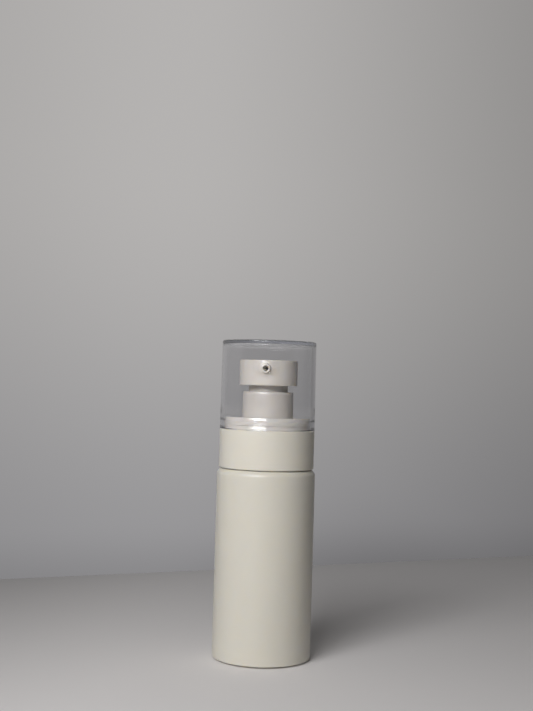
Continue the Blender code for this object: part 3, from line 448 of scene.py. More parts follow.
def clear_plastic(name, roof_top):
    """Clear styrene: a refracting wall that lets lamps through as a thin film would.

    Its colour comes from its depth, as exp(-density * (1 - tint) * path), so the thick roof
    seen edge on is much darker than the wall.  The roof is less polished than the wall, which
    spreads its highlights.

    Two Mix Shaders show a Transparent shader to rays from lamps and from lit surfaces.  With
    only the first of them the pump inside would be lit twice, once through the film and once
    through the wall.
    """
    material, tree, shader = new_material(name)
    gloss = ramp(tree, place_in(tree, "Z"), roof_top - DULL_FROM, roof_top - DULL_FULLY,
                 WALL_ROUGHNESS, ROOF_ROUGHNESS)
    ripple = bump(tree, noise(tree, RIPPLE_SCALE, 1.0), RIPPLE_STRENGTH, RIPPLE_DEPTH)
    dress(shader, {"Base Color": (*CLEAR_TINT, 1.0), "Transmission Weight": 1.0,
                   "IOR": STYRENE_IOR, "Roughness": gloss, "Normal": ripple})
    film = add(tree, "BsdfTransparent", "BSDF", {"Color": (*FILM_TINT, 1.0)})
    seen = shader.outputs["BSDF"]
    for ray in ("Is Shadow Ray", "Is Diffuse Ray"):
        chosen = add(tree, "LightPath", ray)
        seen = add(tree, "MixShader", "Shader", {"Fac": chosen, 1: seen, 2: film})
    depth = add(tree, "VolumeAbsorption", "Volume",
                {"Color": (*DEPTH_TINT, 1.0), "Density": DEPTH_DENSITY})
    dress(tree.nodes["Material Output"], {"Surface": seen, "Volume": depth})
    return material


def drawn_steel(name):
    """Stainless steel with fine drawing marks, from noise squeezed along the height."""
    material, tree, shader = new_material(name)
    marks = noise(tree, MARK_SCALE, squeeze=MARK_SQUEEZE)
    dress(shader, {"Base Color": tinted(tree, marks, STEEL_DARK, STEEL_LIGHT),
                   "Roughness": ranged(tree, marks, *STEEL_ROUGHNESS), "Metallic": 1.0})
    return material


clear_styrene = clear_plastic("clear_styrene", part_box("overcap")[1][2])
spring_steel = drawn_steel("spring_steel")
ball_steel = drawn_steel("ball_steel")


# %% [markdown]
# ## The bottle
#
# The bottle is one blow moulded shell: a straight wall, a rounded shoulder under the collar, an
# inset foot ring round a base pushed up in the middle, and a neck with a thread of one and a half
# turns.  The thread could be a separate swept ridge, but then it would only lie on the neck.  Here
# it is a move of the neck's own grid of points: where a point lies close to the helix, its radius
# grows.  Under the base runs the low seam where the mould pinched the parison shut, made the
# same way.

# %% Read the main sizes from the frame
def extent(node):
    """Largest radius, lowest and highest point of a round CAD node."""
    low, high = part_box(node)
    return high.x, low.z, high.z


BODY_R, _, NECK_TOP = extent("bottle_body")
FLANGE_R, SLEEVE_LOW, SLEEVE_TOP = extent("guide_sleeve")
CLOSURE_R, CLOSURE_LOW, DECK_TOP = extent("threaded_closure")
COLLAR_R, COLLAR_LOW, COLLAR_TOP = extent("outer_collar")
CAP_R, CAP_LOW, CAP_TOP = extent("overcap")
HEAD_R, HEAD_LOW, HEAD_TOP = extent("actuator_shell")
SKIRT_R, SKIRT_LOW, CORE_TOP = extent("actuator_core")
STEM_FLANGE_R, STEM_LOW, STEM_TOP = extent("pump_stem")
_, ROD_LOW, ROD_TOP = extent("piston_rod")
SPRING_OUTER_R, SPRING_LOW, SPRING_TOP = extent("return_spring")
_, PISTON_LOW, PISTON_TOP = extent("piston_seal")
_, TAIL_LOW, HOUSING_TOP = extent("pump_housing")
BALL_R, BALL_LOW, _ = extent("inlet_ball")
TUBE_R, TUBE_LOW, TUBE_TOP = extent("dip_tube")
SEAM = 0.2 * MM
SEAT = 0.2 * MM
SHOULDER_Z = COLLAR_LOW - SEAM
print("shoulder at %.1f mm, neck top at %.1f mm" % (SHOULDER_Z / MM, NECK_TOP / MM))

# %% Work out the thread
PITCH = 3.175 * MM
THREAD_TURNS = 1.5
THREAD_DEPTH = 0.85 * MM
THREAD_WIDTH = 1.15 * MM
THREAD_ROW = 0.16 * MM
THREAD_START = NECK_TOP - 3.0 * MM - THREAD_TURNS * PITCH
RAMP_STEEPNESS = 8.0


def ridge(height, angle, start, turns, width):
    """0 to 1 along a helix: 1 on its line, falling as a cosine to 0 half a width away.

    The helix climbs one pitch a turn from start.  The distance to it is the height above the
    nearest turn, and a ramp at both ends lets it grow out of the wall.
    """
    climb = (height - start) / PITCH - angle / math.tau
    lap = np.clip(np.round(climb), 0, math.ceil(turns))
    away = (climb - lap) * PITCH
    along = lap + angle / math.tau
    ends = np.clip(np.minimum(along, turns - along) * RAMP_STEEPNESS + 0.5, 0.0, 1.0)
    near = np.clip(np.abs(away) / (width / 2), 0.0, 1.0)
    return (0.5 + 0.5 * np.cos(math.pi * near)) ** 0.5 * ends


print("the thread climbs %.2f mm" % (THREAD_TURNS * PITCH / MM))

# %% Turn the bottle
SHOULDER_FILLET = 2.8 * MM
BODY_WALL = 1.2 * MM
NECK_R = 10.9 * MM
NECK_BORE_R = 9.4 * MM
PUSH_UP = 1.2 * MM
HEEL_Z = 0.75 * MM
RING_R = BODY_R - 2.0 * MM
FOOT_R = BODY_R - 3.8 * MM
FLOOR_R = FOOT_R - 0.9 * MM
BEAD_Z = SHOULDER_Z + 1.9 * MM
BEAD_REACH = 0.9 * MM
BEAD_HALF = 0.6 * MM
PINCH_WIDTH = 0.9 * MM
PINCH_DROP = 0.12 * MM
TOLERANCE = 0.01 * MM


def bottle_shape():
    """Profile of the bottle from its floor inside, over the lip and down to the foot."""
    inner_r = BODY_R - BODY_WALL
    roof = SHOULDER_Z - BODY_WALL
    floor = PUSH_UP + 1.5 * MM
    lip_foot = NECK_TOP - 1.0 * MM
    neck_foot_r = NECK_R + 1.0 * MM
    inside = rounded([
        (0.0, floor), (FLOOR_R, floor, 1.5 * MM), (FOOT_R, 1.5 * MM, 1.0 * MM),
        (inner_r, 1.5 * MM, 1.6 * MM), (inner_r, roof, 1.6 * MM), (NECK_BORE_R, roof, 0.5 * MM),
        (NECK_BORE_R, NECK_TOP, 0.25 * MM), (NECK_R, NECK_TOP, 0.6 * MM), (NECK_R, lip_foot),
    ], closed=False)
    neck = outline([
        (NECK_R, lip_foot), (NECK_R, BEAD_Z + BEAD_HALF, EASED),
        (NECK_R + BEAD_REACH, BEAD_Z, SOFT), (NECK_R, BEAD_Z - BEAD_HALF, EASED),
        (NECK_R, SHOULDER_Z, SOFT), (neck_foot_r, SHOULDER_Z),
    ], THREAD_ROW, closed=False)
    outside = outline([
        (neck_foot_r, SHOULDER_Z), (BODY_R, SHOULDER_Z, SHOULDER_FILLET),
        (BODY_R, HEEL_Z, SOFT), (RING_R, HEEL_Z, CRISP), (RING_R, 0.0, FINE),
        (FOOT_R, 0.0, 0.25 * MM), (FLOOR_R, PUSH_UP, 1.2 * MM), (0.0, PUSH_UP),
    ], closed=False)
    return np.concatenate([inside, neck, outside])


def bottle_marks(radius, height, angle):
    """Raise the thread on the neck's outer wall, and lower the pinch seam under the base."""
    on_wall = np.abs(radius - NECK_R) < TOLERANCE
    lift = ridge(height, angle, THREAD_START, THREAD_TURNS, THREAD_WIDTH) * THREAD_DEPTH
    across = np.clip(np.abs(radius * np.sin(angle)) / (PINCH_WIDTH / 2), 0.0, 1.0)
    under = (height < PUSH_UP + CRISP) & (radius < BODY_R - 5.0 * MM)
    seam = (0.5 + 0.5 * np.cos(math.pi * across)) * PINCH_DROP * under
    return radius + lift * on_wall, height - seam


piece("bottle_shell", turned(bottle_shape(), shift=bottle_marks), "bottle",
      satin_bottle, "bottle_body")


# %% [markdown]
# ## The closure and its collar
#
# The threaded closure is a double wall under a deck.  The inner wall carries the thread.  The
# outer wall shows above the collar as a narrow spigot, whose two leaning bands grip the overcap,
# with fine rings between them.  Six ribs tie the two walls under the deck.  Both the thread and
# the ribs are moves of the turned grid, so the closure stays one skin with no seams to mend.
# A plain satin collar hides it from the bottle's shoulder up to the spigot.

# %% Turn the collar
COLLAR_WALL = 1.0 * MM
SPIGOT_R = CLOSURE_R - 0.4 * MM
SPIGOT_BORE_R = SPIGOT_R - 1.3 * MM


def collar_shape():
    """Profile of the collar: a straight shell with an inward lip at the top."""
    lip_r = SPIGOT_R + 0.3 * MM
    bore_r = COLLAR_R - COLLAR_WALL
    low_z = COLLAR_LOW - 0.15 * MM
    return outline([
        (lip_r, COLLAR_TOP - COLLAR_WALL), (lip_r, COLLAR_TOP, CRISP),
        (COLLAR_R, COLLAR_TOP, SOFT), (COLLAR_R, low_z, 0.58 * MM),
        (bore_r, low_z, CRISP), (bore_r, COLLAR_TOP - COLLAR_WALL, EASED),
    ])


piece("collar_shell", turned(collar_shape()), "closure", satin_collar,
      "outer_collar")

# %% Turn the closure
DECK_HOLE_R = 10.75 * MM
THREAD_BORE_R = 12.15 * MM
THREAD_WALL_R = THREAD_BORE_R + 1.1 * MM
DECK_UNDER = DECK_TOP - 1.2 * MM
CLOSURE_THREAD_DEPTH = 0.8 * MM
RIB_COUNT = 6
RIB_LOW = CLOSURE_LOW + 3.5 * MM
RIB_HALF_ANGLE = math.radians(1.2)
BAND_LEAN = 0.32 * MM
BAND_R = SPIGOT_R + 0.1 * MM
RINGS_TOP = DECK_TOP - 1.45 * MM
RINGS_HEIGHT = 1.7 * MM
RINGS_LOW = RINGS_TOP - RINGS_HEIGHT
RING_LINES = 3
RING_DEPTH = 0.10 * MM
RING_HALF = 0.16 * MM


def from_middle(angle, count):
    """Angle to the nearest of a count of places spaced evenly round the axis."""
    spacing = math.tau / count
    return np.abs((angle + spacing / 2) % spacing - spacing / 2)


def closure_shape():
    """Profile of the closure, from the deck's hole over the spigot and round both walls.

    The spigot has two bands that lean in towards their tops, and fine rings between them.
    """
    step_z = COLLAR_TOP - 1.3 * MM
    step_r = SPIGOT_R - 0.2 * MM
    wall_z = CLOSURE_LOW + 0.4 * MM
    rings = []
    for ring_z in RINGS_TOP - (np.arange(RING_LINES) + 0.5) * RINGS_HEIGHT / RING_LINES:
        rings += [(BAND_R, ring_z + RING_HALF), (BAND_R - RING_DEPTH, ring_z),
                  (BAND_R, ring_z - RING_HALF)]
    walls = outline([
        (THREAD_BORE_R, DECK_UNDER - 0.3 * MM), (THREAD_BORE_R, DECK_UNDER, CRISP),
        (DECK_HOLE_R, DECK_UNDER, FINE), (DECK_HOLE_R, DECK_TOP, 0.25 * MM),
        (BAND_R - BAND_LEAN, DECK_TOP, 0.12 * MM), (BAND_R, RINGS_TOP, CRISP), *rings,
        (BAND_R, RINGS_LOW, 0.05 * MM), (BAND_R - BAND_LEAN, RINGS_LOW - 0.05 * MM),
        (BAND_R, COLLAR_TOP + 0.2 * MM, CRISP), (step_r, COLLAR_TOP + 0.1 * MM),
        (step_r, step_z), (CLOSURE_R, step_z, FINE), (CLOSURE_R, CLOSURE_LOW, FINE),
        (SPIGOT_BORE_R, CLOSURE_LOW, FINE), (SPIGOT_BORE_R, DECK_UNDER),
        (THREAD_WALL_R, DECK_UNDER), (THREAD_WALL_R, wall_z, FINE),
        (THREAD_BORE_R, wall_z, FINE), (THREAD_BORE_R, wall_z + 1.0 * MM),
    ], 1.5 * MM, closed=False)
    thread = outline([walls[-1], walls[0]], THREAD_ROW * 1.5, closed=False)
    return np.concatenate([walls, thread[1:-1]])


def closure_marks(radius, height, angle):
    """Thread on the bore, half a pitch from the neck's, and ribs let down from the deck."""
    on_bore = (np.abs(radius - THREAD_BORE_R) < TOLERANCE) & (height < DECK_UNDER - 0.2 * MM)
    start = THREAD_START + PITCH / 2
    grow = ridge(height, angle, start, THREAD_TURNS, THREAD_WIDTH) * CLOSURE_THREAD_DEPTH
    between = (radius > THREAD_WALL_R - TOLERANCE) & (radius < SPIGOT_BORE_R + TOLERANCE)
    at_rib = from_middle(angle, RIB_COUNT) < RIB_HALF_ANGLE
    rib = between & at_rib & (height <= DECK_UNDER + TOLERANCE)
    return radius - grow * on_bore, np.where(rib, np.minimum(height, RIB_LOW), height)


piece("closure_shell", turned(closure_shape(), FINE_SEGMENTS, closure_marks), "closure",
      closure_white, "threaded_closure")


# %% [markdown]
# ## The clear overcap
#
# The overcap is a thick clear cup.  What shows of it is its edges: the thick roof seen edge on,
# the foot with its grip on the spigot, and the bright lines where fillets catch the light.  A
# single skin with a thin film shader would lose them all, so the cup is modelled as real
# surfaces inside and out.  Two shallow grooves run round the bore, one over each of the
# spigot's bands, and above them the bore is slightly narrower.

# %% Turn the overcap
CAP_ROOF = 1.5 * MM
CAP_WALL = 1.45 * MM
CAP_DRAFT = 0.22 * MM
CAP_BORE_R = CAP_R - CAP_WALL
CAP_RELIEF = 0.3 * MM
GROOVE_WIDTH = 0.9 * MM
GROOVE_DEPTH = 0.085 * MM


def overcap_shape():
    """Profile of the overcap from the roof's middle down the outside and back up inside."""
    top_r = CAP_R - CAP_DRAFT
    ceiling = CAP_TOP - CAP_ROOF
    grooves = []
    for groove_z in (COLLAR_TOP + GROOVE_WIDTH, DECK_TOP - GROOVE_WIDTH):
        grooves += [(CAP_BORE_R, groove_z - GROOVE_WIDTH / 2, 1.0 * MM),
                    (CAP_BORE_R + GROOVE_DEPTH, groove_z, 1.0 * MM),
                    (CAP_BORE_R, groove_z + GROOVE_WIDTH / 2, 1.0 * MM)]
    return outline([
        (0.0, CAP_TOP), (top_r, CAP_TOP, 0.8 * MM), (CAP_R, CAP_LOW, FINE),
        (CAP_BORE_R + 0.1 * MM, CAP_LOW, CRISP), (CAP_BORE_R, CAP_LOW + 0.3 * MM, 0.05 * MM),
        *grooves, (CAP_BORE_R, DECK_TOP + 1.0 * MM, 1.0 * MM),
        (CAP_BORE_R - CAP_RELIEF, DECK_TOP + 4.5 * MM, 4.0 * MM),
        (top_r - CAP_WALL - CAP_RELIEF, ceiling, 0.5 * MM), (0.0, ceiling),
    ], closed=False)


piece("overcap_shell", turned(overcap_shape(), FINE_SEGMENTS), "overcap",
      clear_styrene, "overcap")


# %% [markdown]
# ## The pump head
#
# The sleeve rises out of the deck, and the head's skirt slides down inside it when the head is
# pressed.  The outer shell hides the joint between them, and it flares out round the nozzle.
# A hole through a round wall is awkward for a plain grid.  Cutting it with a Boolean leaves long
# thin faces that spoil the gloss, so the wall's grid has a window instead, and rings of points
# lead from the window's edge to the round hole.  The same formula gives the flare's height in
# the rings and in the grid, so they meet without a crease.

# %% Turn the sleeve
SLEEVE_BASE_R = 10.45 * MM
SLEEVE_TOP_R = 10.30 * MM
SLEEVE_BORE_R = 9.20 * MM


def sleeve_shape():
    """Profile of the sleeve: a slightly drafted tube on a flange that the closure clamps."""
    flange_top = SLEEVE_LOW + 0.9 * MM
    return outline([
        (SLEEVE_BORE_R, SLEEVE_LOW, CRISP), (SLEEVE_BORE_R, SLEEVE_TOP, 0.25 * MM),
        (SLEEVE_TOP_R - 0.2 * MM, SLEEVE_TOP, SOFT),
        (SLEEVE_TOP_R, SLEEVE_TOP - 0.9 * MM, 0.4 * MM), (SLEEVE_BASE_R, flange_top, CRISP),
        (FLANGE_R, flange_top, CRISP), (FLANGE_R, SLEEVE_LOW, CRISP),
    ], 1.5 * MM)


piece("sleeve_shell", turned(sleeve_shape()), "pump", satin_sleeve_shaded, "guide_sleeve")

# %% Work out the flare round the nozzle
NOZZLE_Z = HEAD_TOP - 3.3 * MM
NOZZLE_HOLE_R = 1.97 * MM
FLARE_TIP_R = 2.35 * MM
FLARE_BASE_R = 3.15 * MM
FLARE_REACH = 0.45 * MM
FLARE_LIMIT = 5.0 * MM
FLARE_BLEND = 0.45 * MM
TIP_BLEND = 0.25 * MM


def smooth_max(first, second, blend):
    """The larger of two values, rounded by blend / 4 where they are equal."""
    near = np.clip(blend - np.abs(first - second), 0.0, None) / blend
    return np.maximum(first, second) + near ** 2 * blend / 4


def flared(wall, across, up):
    """How far forward the shell reaches: the wall or the flare, whichever is further.

    The flare is a cone about the nozzle's axis, cut off flat at its tip.  Far from the axis
    the round wall falls away faster than the cone, so past a limit only the wall counts.
    """
    away = np.hypot(across, up)
    slope = FLARE_REACH / (FLARE_BASE_R - FLARE_TIP_R)
    cone = HEAD_R + FLARE_REACH - (away - FLARE_TIP_R) * slope
    cut = -smooth_max(-cone, np.full_like(cone, -HEAD_R - FLARE_REACH), TIP_BLEND)
    return np.where(away < FLARE_LIMIT, smooth_max(wall, cut, FLARE_BLEND), wall)


print("flare stands %.1f mm out of the head's wall" % (FLARE_REACH / MM))

# %% Draw the outer head's profile
HEAD_BORE_R = HEAD_R - 1.0 * MM
HEAD_CEILING = HEAD_TOP - 1.2 * MM
HEAD_FILLET = 0.4 * MM
RIB_BORE_R = SKIRT_R + 0.3 * MM
RIB_OUTER_R = RIB_BORE_R + 0.9 * MM
HEAD_RIB_LOW = HEAD_CEILING - 3.1 * MM
NOTCH_HALF_ANGLE = math.radians(14.5)
WINDOW_HIGH = NOZZLE_Z + 2.75 * MM
WINDOW_LOW = NOZZLE_Z - 2.75 * MM
WINDOW_ROWS = 15


def shell_shape():
    """Profile of the outer head, and the rows where each wall's window begins and ends."""
    top = rounded([(0.0, HEAD_TOP), (HEAD_R - 1.0 * MM, HEAD_TOP), (HEAD_R, HEAD_TOP, HEAD_FILLET),
                   (HEAD_R, WINDOW_HIGH)], closed=False)
    outer = np.linspace((HEAD_R, WINDOW_HIGH), (HEAD_R, WINDOW_LOW), WINDOW_ROWS)
    foot = outline([(HEAD_R, WINDOW_LOW), (HEAD_R, HEAD_LOW, 0.25 * MM),
                    (HEAD_BORE_R, HEAD_LOW, CRISP), (HEAD_BORE_R, WINDOW_LOW)],
                   0.8 * MM, closed=False)
    inner_high = HEAD_CEILING - 0.06 * MM
    inner = np.linspace((HEAD_BORE_R, WINDOW_LOW), (HEAD_BORE_R, inner_high), WINDOW_ROWS)
    ceiling = np.array([(HEAD_BORE_R, HEAD_CEILING), (RIB_OUTER_R, HEAD_CEILING),
                        (RIB_OUTER_R, HEAD_RIB_LOW), (RIB_BORE_R, HEAD_RIB_LOW),
                        (RIB_BORE_R, HEAD_CEILING), (0.0, HEAD_CEILING)])
    profile = np.concatenate([top[:-1], outer, foot[1:-1], inner, ceiling])
    first = len(top) - 1
    second = first + WINDOW_ROWS + len(foot) - 2
    return profile, (first, first + WINDOW_ROWS - 1), (second + WINDOW_ROWS - 1, second)


def notch(radius, height, angle):
    """Lift the locating rib to the ceiling where the nozzle's channel passes."""
    in_front = np.abs(angle - math.tau * 0.75) < NOTCH_HALF_ANGLE
    on_rib = (radius < RIB_OUTER_R + TOLERANCE) & (np.abs(height - HEAD_RIB_LOW) < TOLERANCE)
    return radius, np.where(in_front & on_rib, HEAD_CEILING - 0.05 * MM, height)


print("the window is %.1f mm high" % ((WINDOW_HIGH - WINDOW_LOW) / MM))

# %% Build the outer head with its window and hole
WINDOW_COLUMNS = 11
RING_COUNT = 12
FRONT = round(SEGMENTS * 0.75)


def window_ring(top, bottom):
    """Grid indices round a window's edge: along its top, down, back along its foot and up."""
    left, right = FRONT - WINDOW_COLUMNS, FRONT + WINDOW_COLUMNS
    down = 1 if bottom > top else -1
    across = np.arange(left, right)
    rows = np.arange(top, bottom, down)
    return np.concatenate([top * SEGMENTS + across, rows * SEGMENTS + right,
                           bottom * SEGMENTS + across[::-1] + 1,
                           (rows[::-1] + down) * SEGMENTS + left])


def window_rings(hole, edge, wall_r):
    """Rings of points on a wall of that radius, from the round hole out to a window's edge.

    Seen from the front, the points lie on straight lines between hole and edge, and how far
    forward they reach is sqrt(r^2 - x^2), or the flare's formula on the outside.
    """
    target = np.stack([edge[:, 0], edge[:, 2] - NOZZLE_Z], axis=-1)
    flat = hole + (target - hole) * np.linspace(0.0, 1.0, RING_COUNT)[:, None, None]
    reach = np.sqrt(wall_r ** 2 - flat[..., 0] ** 2)
    if wall_r == HEAD_R:
        reach = flared(reach, flat[..., 0], flat[..., 1])
    return np.stack([flat[..., 0], -reach, flat[..., 1] + NOZZLE_Z], axis=-1)


def outer_head():
    """Points and faces of the outer head: a turned grid, two ringed windows and the hole."""
    profile, outer_rows, inner_rows = shell_shape()
    points, faces = turned(profile, shift=notch)
    radius = np.hypot(points[:, 0], points[:, 1])
    high_enough = points[:, 2] > HEAD_LOW + 1.0 * MM
    outside = (radius > HEAD_R - HEAD_FILLET - TOLERANCE) & (points[:, 1] < 0.0) & high_enough
    reach = flared(-points[:, 1], points[:, 0], points[:, 2] - NOZZLE_Z)
    points[outside, 1] = -reach[outside]

    row, column = faces[:, 0] // SEGMENTS, faces[:, 0] % SEGMENTS
    in_columns = np.abs(column + 0.5 - FRONT) < WINDOW_COLUMNS
    in_rows = ((row >= outer_rows[0]) & (row < outer_rows[1])
               | (row >= inner_rows[1]) & (row < inner_rows[0]))
    faces = faces[~(in_columns & in_rows)]

    outer, inner = points[window_ring(*outer_rows)], points[window_ring(*inner_rows)]
    turn = np.arctan2(outer[:, 2] - NOZZLE_Z, outer[:, 0])
    hole = NOZZLE_HOLE_R * np.stack([np.cos(turn), np.sin(turn)], axis=-1)
    strip = np.concatenate([window_rings(hole, outer, HEAD_R)[::-1],
                            window_rings(hole, inner, HEAD_BORE_R)])
    strip_faces = grid_faces(len(strip), strip.shape[1], False) + len(points)
    return np.concatenate([points, strip.reshape(-1, 3)]), np.concatenate([faces, strip_faces])


piece("outer_head", outer_head(), "head", satin_head, "actuator_shell")


# %% [markdown]
# ## The inner head and the nozzle
#
# The inner head is one moulding: a skirt that telescopes in the sleeve, a socket for the stem,
# and a channel that leads the lotion forward to the nozzle.  The channel lies across the turned
# shape, where a grid can't follow, and it hardly shows, so Booleans are good enough: one adds
# its boss, and one stepped tool cuts both the channel and the seat of the nozzle's plug.
# The nozzle is turned about its own axis, with a lip that catches a round highlight.

# %% Build the inner head
CHANNEL_R = 1.0 * MM
PLUG_R = 1.25 * MM
PLUG_SEAT_R = PLUG_R + 0.15 * MM
PLUG_LENGTH = 3.0 * MM
BOSS_R = PLUG_SEAT_R + 0.45 * MM
BOSS_END = HEAD_BORE_R - 0.3 * MM
SOCKET_R = 4.0 * MM
SOCKET_BORE_R = 2.95 * MM
SOCKET_LOW = 108.2 * MM
RISER_R = 1.3 * MM
RISER_TOP = NOZZLE_Z + 0.3 * MM


def rod_shape(radius, start, end):
    """Profile of a plain rod."""
    return np.array([(0.0, start), (radius, start), (radius, end), (0.0, end)])


def channel_shape():
    """Profile of the cut for the channel and for the wider seat of the nozzle's plug."""
    step, end = BOSS_END - PLUG_LENGTH, BOSS_END + 1.0 * MM
    return np.array([(0.0, 0.0), (CHANNEL_R, 0.0), (CHANNEL_R, step),
                     (PLUG_SEAT_R, step), (PLUG_SEAT_R, end), (0.0, end)])


def core_shape():
    """Profile of the inner head: web, telescoping skirt, stem socket and riser."""
    web = CORE_TOP - 1.2 * MM
    skirt_bore_r = SKIRT_R - 1.0 * MM
    return outline([
        (0.0, CORE_TOP), (SKIRT_R, CORE_TOP, EASED), (SKIRT_R, SKIRT_LOW, 0.25 * MM),
        (skirt_bore_r, SKIRT_LOW, CRISP), (skirt_bore_r, web, SOFT),
        (SOCKET_R, web, SOFT), (SOCKET_R, SOCKET_LOW, 0.35 * MM),
        (SOCKET_BORE_R, SOCKET_LOW, EASED), (SOCKET_BORE_R, STEM_TOP + SEAT),
        (RISER_R, STEM_TOP + SEAT), (RISER_R, RISER_TOP), (0.0, RISER_TOP),
    ], closed=False)


boss = rod_shape(BOSS_R, SOCKET_BORE_R + 0.5 * MM, BOSS_END)
inner_head = worked("inner_head", turned(core_shape()), ("UNION", ahead(boss, NOZZLE_Z)),
                    ("DIFFERENCE", ahead(channel_shape(), NOZZLE_Z)))
piece("inner_head", inner_head, "head", satin_core_lightened, "actuator_core")

# %% Turn the nozzle
NOZZLE_R = 1.9 * MM
NOZZLE_TIP = HEAD_R + 1.6 * MM
NOZZLE_CREST_R = 1.3 * MM
NOZZLE_MOUTH_R = 1.1 * MM
NOZZLE_BORE_R = 0.6 * MM
MOUTH_DEPTH = 3.0 * MM


def nozzle_shape():
    """Profile of the nozzle about its own axis: bore, mouth, a well rounded lip and plug."""
    plug_end = HEAD_BORE_R - PLUG_LENGTH
    return outline([
        (NOZZLE_BORE_R, plug_end), (NOZZLE_BORE_R, NOZZLE_TIP - 3.4 * MM, CRISP),
        (NOZZLE_MOUTH_R - 0.15 * MM, NOZZLE_TIP - MOUTH_DEPTH, SOFT),
        (NOZZLE_MOUTH_R, NOZZLE_TIP - 0.12 * MM, CRISP), (NOZZLE_CREST_R, NOZZLE_TIP, 0.25 * MM),
        (NOZZLE_R, NOZZLE_TIP - 0.1 * MM, 0.35 * MM), (NOZZLE_R, HEAD_BORE_R),
        (PLUG_R, HEAD_BORE_R), (PLUG_R, plug_end),
    ], 1.0 * MM)


piece("nozzle_spout", ahead(nozzle_shape(), NOZZLE_Z), "head", satin_head,
      "nozzle_insert")


# %% [markdown]
# ## The pump inside
#
# None of the pump shows from outside, but the bottle is a working assembly, so its inner pieces
# are finished too.  These stand still in the neck: the stepped housing with its ball valve, the
# cup that guides the stem, and the ring that seals the flange on the lip.  Each one is a
# profile again, and what isn't round about the axis is a move of its grid.  Only the small vent
# hole through the housing's wall is cut by a Boolean.

# %% Turn the housing
PISTON_BORE_R = 4.2 * MM
WELL_BORE_R = 3.3 * MM
MOUTH_R = 6.0 * MM
HOUSING_WALL = 0.9 * MM
HOUSING_FLANGE = 0.9 * MM
MOUTH_FLOOR = HOUSING_TOP - 6.7 * MM
TAPER = 1.2 * MM
WELL_FLOOR = SPRING_LOW - SEAT
ROD_HEAD_LOW = SPRING_TOP + SEAT
CHAMBER_FLOOR = ROD_HEAD_LOW - 7.0 * MM
NUB_LOW = WELL_FLOOR - 0.6 * MM
NUB_R = 1.4 * MM
NUB_SLOT = 1.1 * MM
NUB_COUNT = 4
BALL_CHAMBER_R = 2.0 * MM
INLET_R = 1.0 * MM
SEAT_LOW = BALL_LOW + BALL_R - (BALL_R + 0.15 * MM) * math.sqrt(2) + INLET_R
SEAT_TOP = SEAT_LOW + BALL_CHAMBER_R - INLET_R
TAIL_BORE_R = TUBE_R + 0.15 * MM
TAIL_R = TAIL_BORE_R + 1.0 * MM
VENT_R = 0.45 * MM
VENT_Z = PISTON_LOW + 3.08 * MM


def housing_shape():
    """Profile of the housing, up its stepped bore from the tail and down its outside."""
    flange_low = HOUSING_TOP - HOUSING_FLANGE
    neck_end = MOUTH_FLOOR - HOUSING_WALL
    neck_r, chamber_r = MOUTH_R + HOUSING_WALL, PISTON_BORE_R + HOUSING_WALL
    well_r = WELL_BORE_R + HOUSING_WALL
    tail_top = SEAT_LOW - 1.6 * MM
    return outline([
        (TAIL_BORE_R, TAIL_LOW, EASED), (TAIL_BORE_R, tail_top), (INLET_R, tail_top),
        (INLET_R, SEAT_LOW), (BALL_CHAMBER_R, SEAT_TOP), (BALL_CHAMBER_R, NUB_LOW),
        (NUB_R, NUB_LOW), (NUB_R, WELL_FLOOR), (WELL_BORE_R, WELL_FLOOR, FINE),
        (WELL_BORE_R, CHAMBER_FLOOR - TAPER, SOFT), (PISTON_BORE_R, CHAMBER_FLOOR, SOFT),
        (PISTON_BORE_R, MOUTH_FLOOR, EASED), (MOUTH_R, MOUTH_FLOOR, EASED),
        (MOUTH_R, HOUSING_TOP, FINE), (FLANGE_R, HOUSING_TOP, FINE),
        (FLANGE_R, flange_low, FINE), (neck_r, flange_low, SOFT), (neck_r, neck_end, SOFT),
        (chamber_r, neck_end - TAPER, SOFT), (chamber_r, CHAMBER_FLOOR, SOFT),
        (well_r, CHAMBER_FLOOR - TAPER, SOFT), (well_r, SEAT_TOP, SOFT),
        (TAIL_R, SEAT_TOP - TAPER, SOFT), (TAIL_R, TAIL_LOW, SOFT),
    ])


def nub_slots(radius, height, angle):
    """Open slots in the ledge over the ball, so that lotion passes a lifted ball."""
    on_ledge = np.abs(radius - NUB_R) < TOLERANCE
    across = from_middle(angle, NUB_COUNT) * (NUB_R + BALL_CHAMBER_R) / 2
    open_here = on_ledge & (across < NUB_SLOT / 2)
    return np.where(open_here, BALL_CHAMBER_R - 0.02 * MM, radius), height


vent = rod_shape(VENT_R, PISTON_BORE_R - 0.8 * MM, PISTON_BORE_R + HOUSING_WALL + 0.8 * MM)
pump_cylinder = worked("pump_cylinder", turned(housing_shape(), shift=nub_slots),
                       ("DIFFERENCE", ahead(vent, VENT_Z, segments=32)))
piece("pump_cylinder", pump_cylinder, "pump", natural_pump, "pump_housing")

# %% Turn the guide and the gasket
def guide_shape():
    """Profile of the guide: a cup pressed in the housing's mouth, and its chimney."""
    low, top = extent("stem_guide")[1:]
    bore_r, chimney_r = 3.05 * MM, 4.0 * MM
    cup_r, floor = MOUTH_R - 0.15 * MM, low + 1.2 * MM
    cup_bore_r = cup_r - 0.8 * MM
    flange_z, flange_r = HOUSING_TOP + SEAT, SLEEVE_BORE_R - 0.3 * MM
    flange_top = flange_z + 0.8 * MM
    return outline([
        (bore_r, low, EASED), (bore_r, top, EASED), (chimney_r, top, SOFT),
        (chimney_r, floor, SOFT), (cup_bore_r, floor, SOFT), (cup_bore_r, flange_top, SOFT),
        (flange_r, flange_top, FINE), (flange_r, flange_z, FINE),
        (cup_r, flange_z, CRISP), (cup_r, low, 0.35 * MM),
    ], 1.5 * MM)


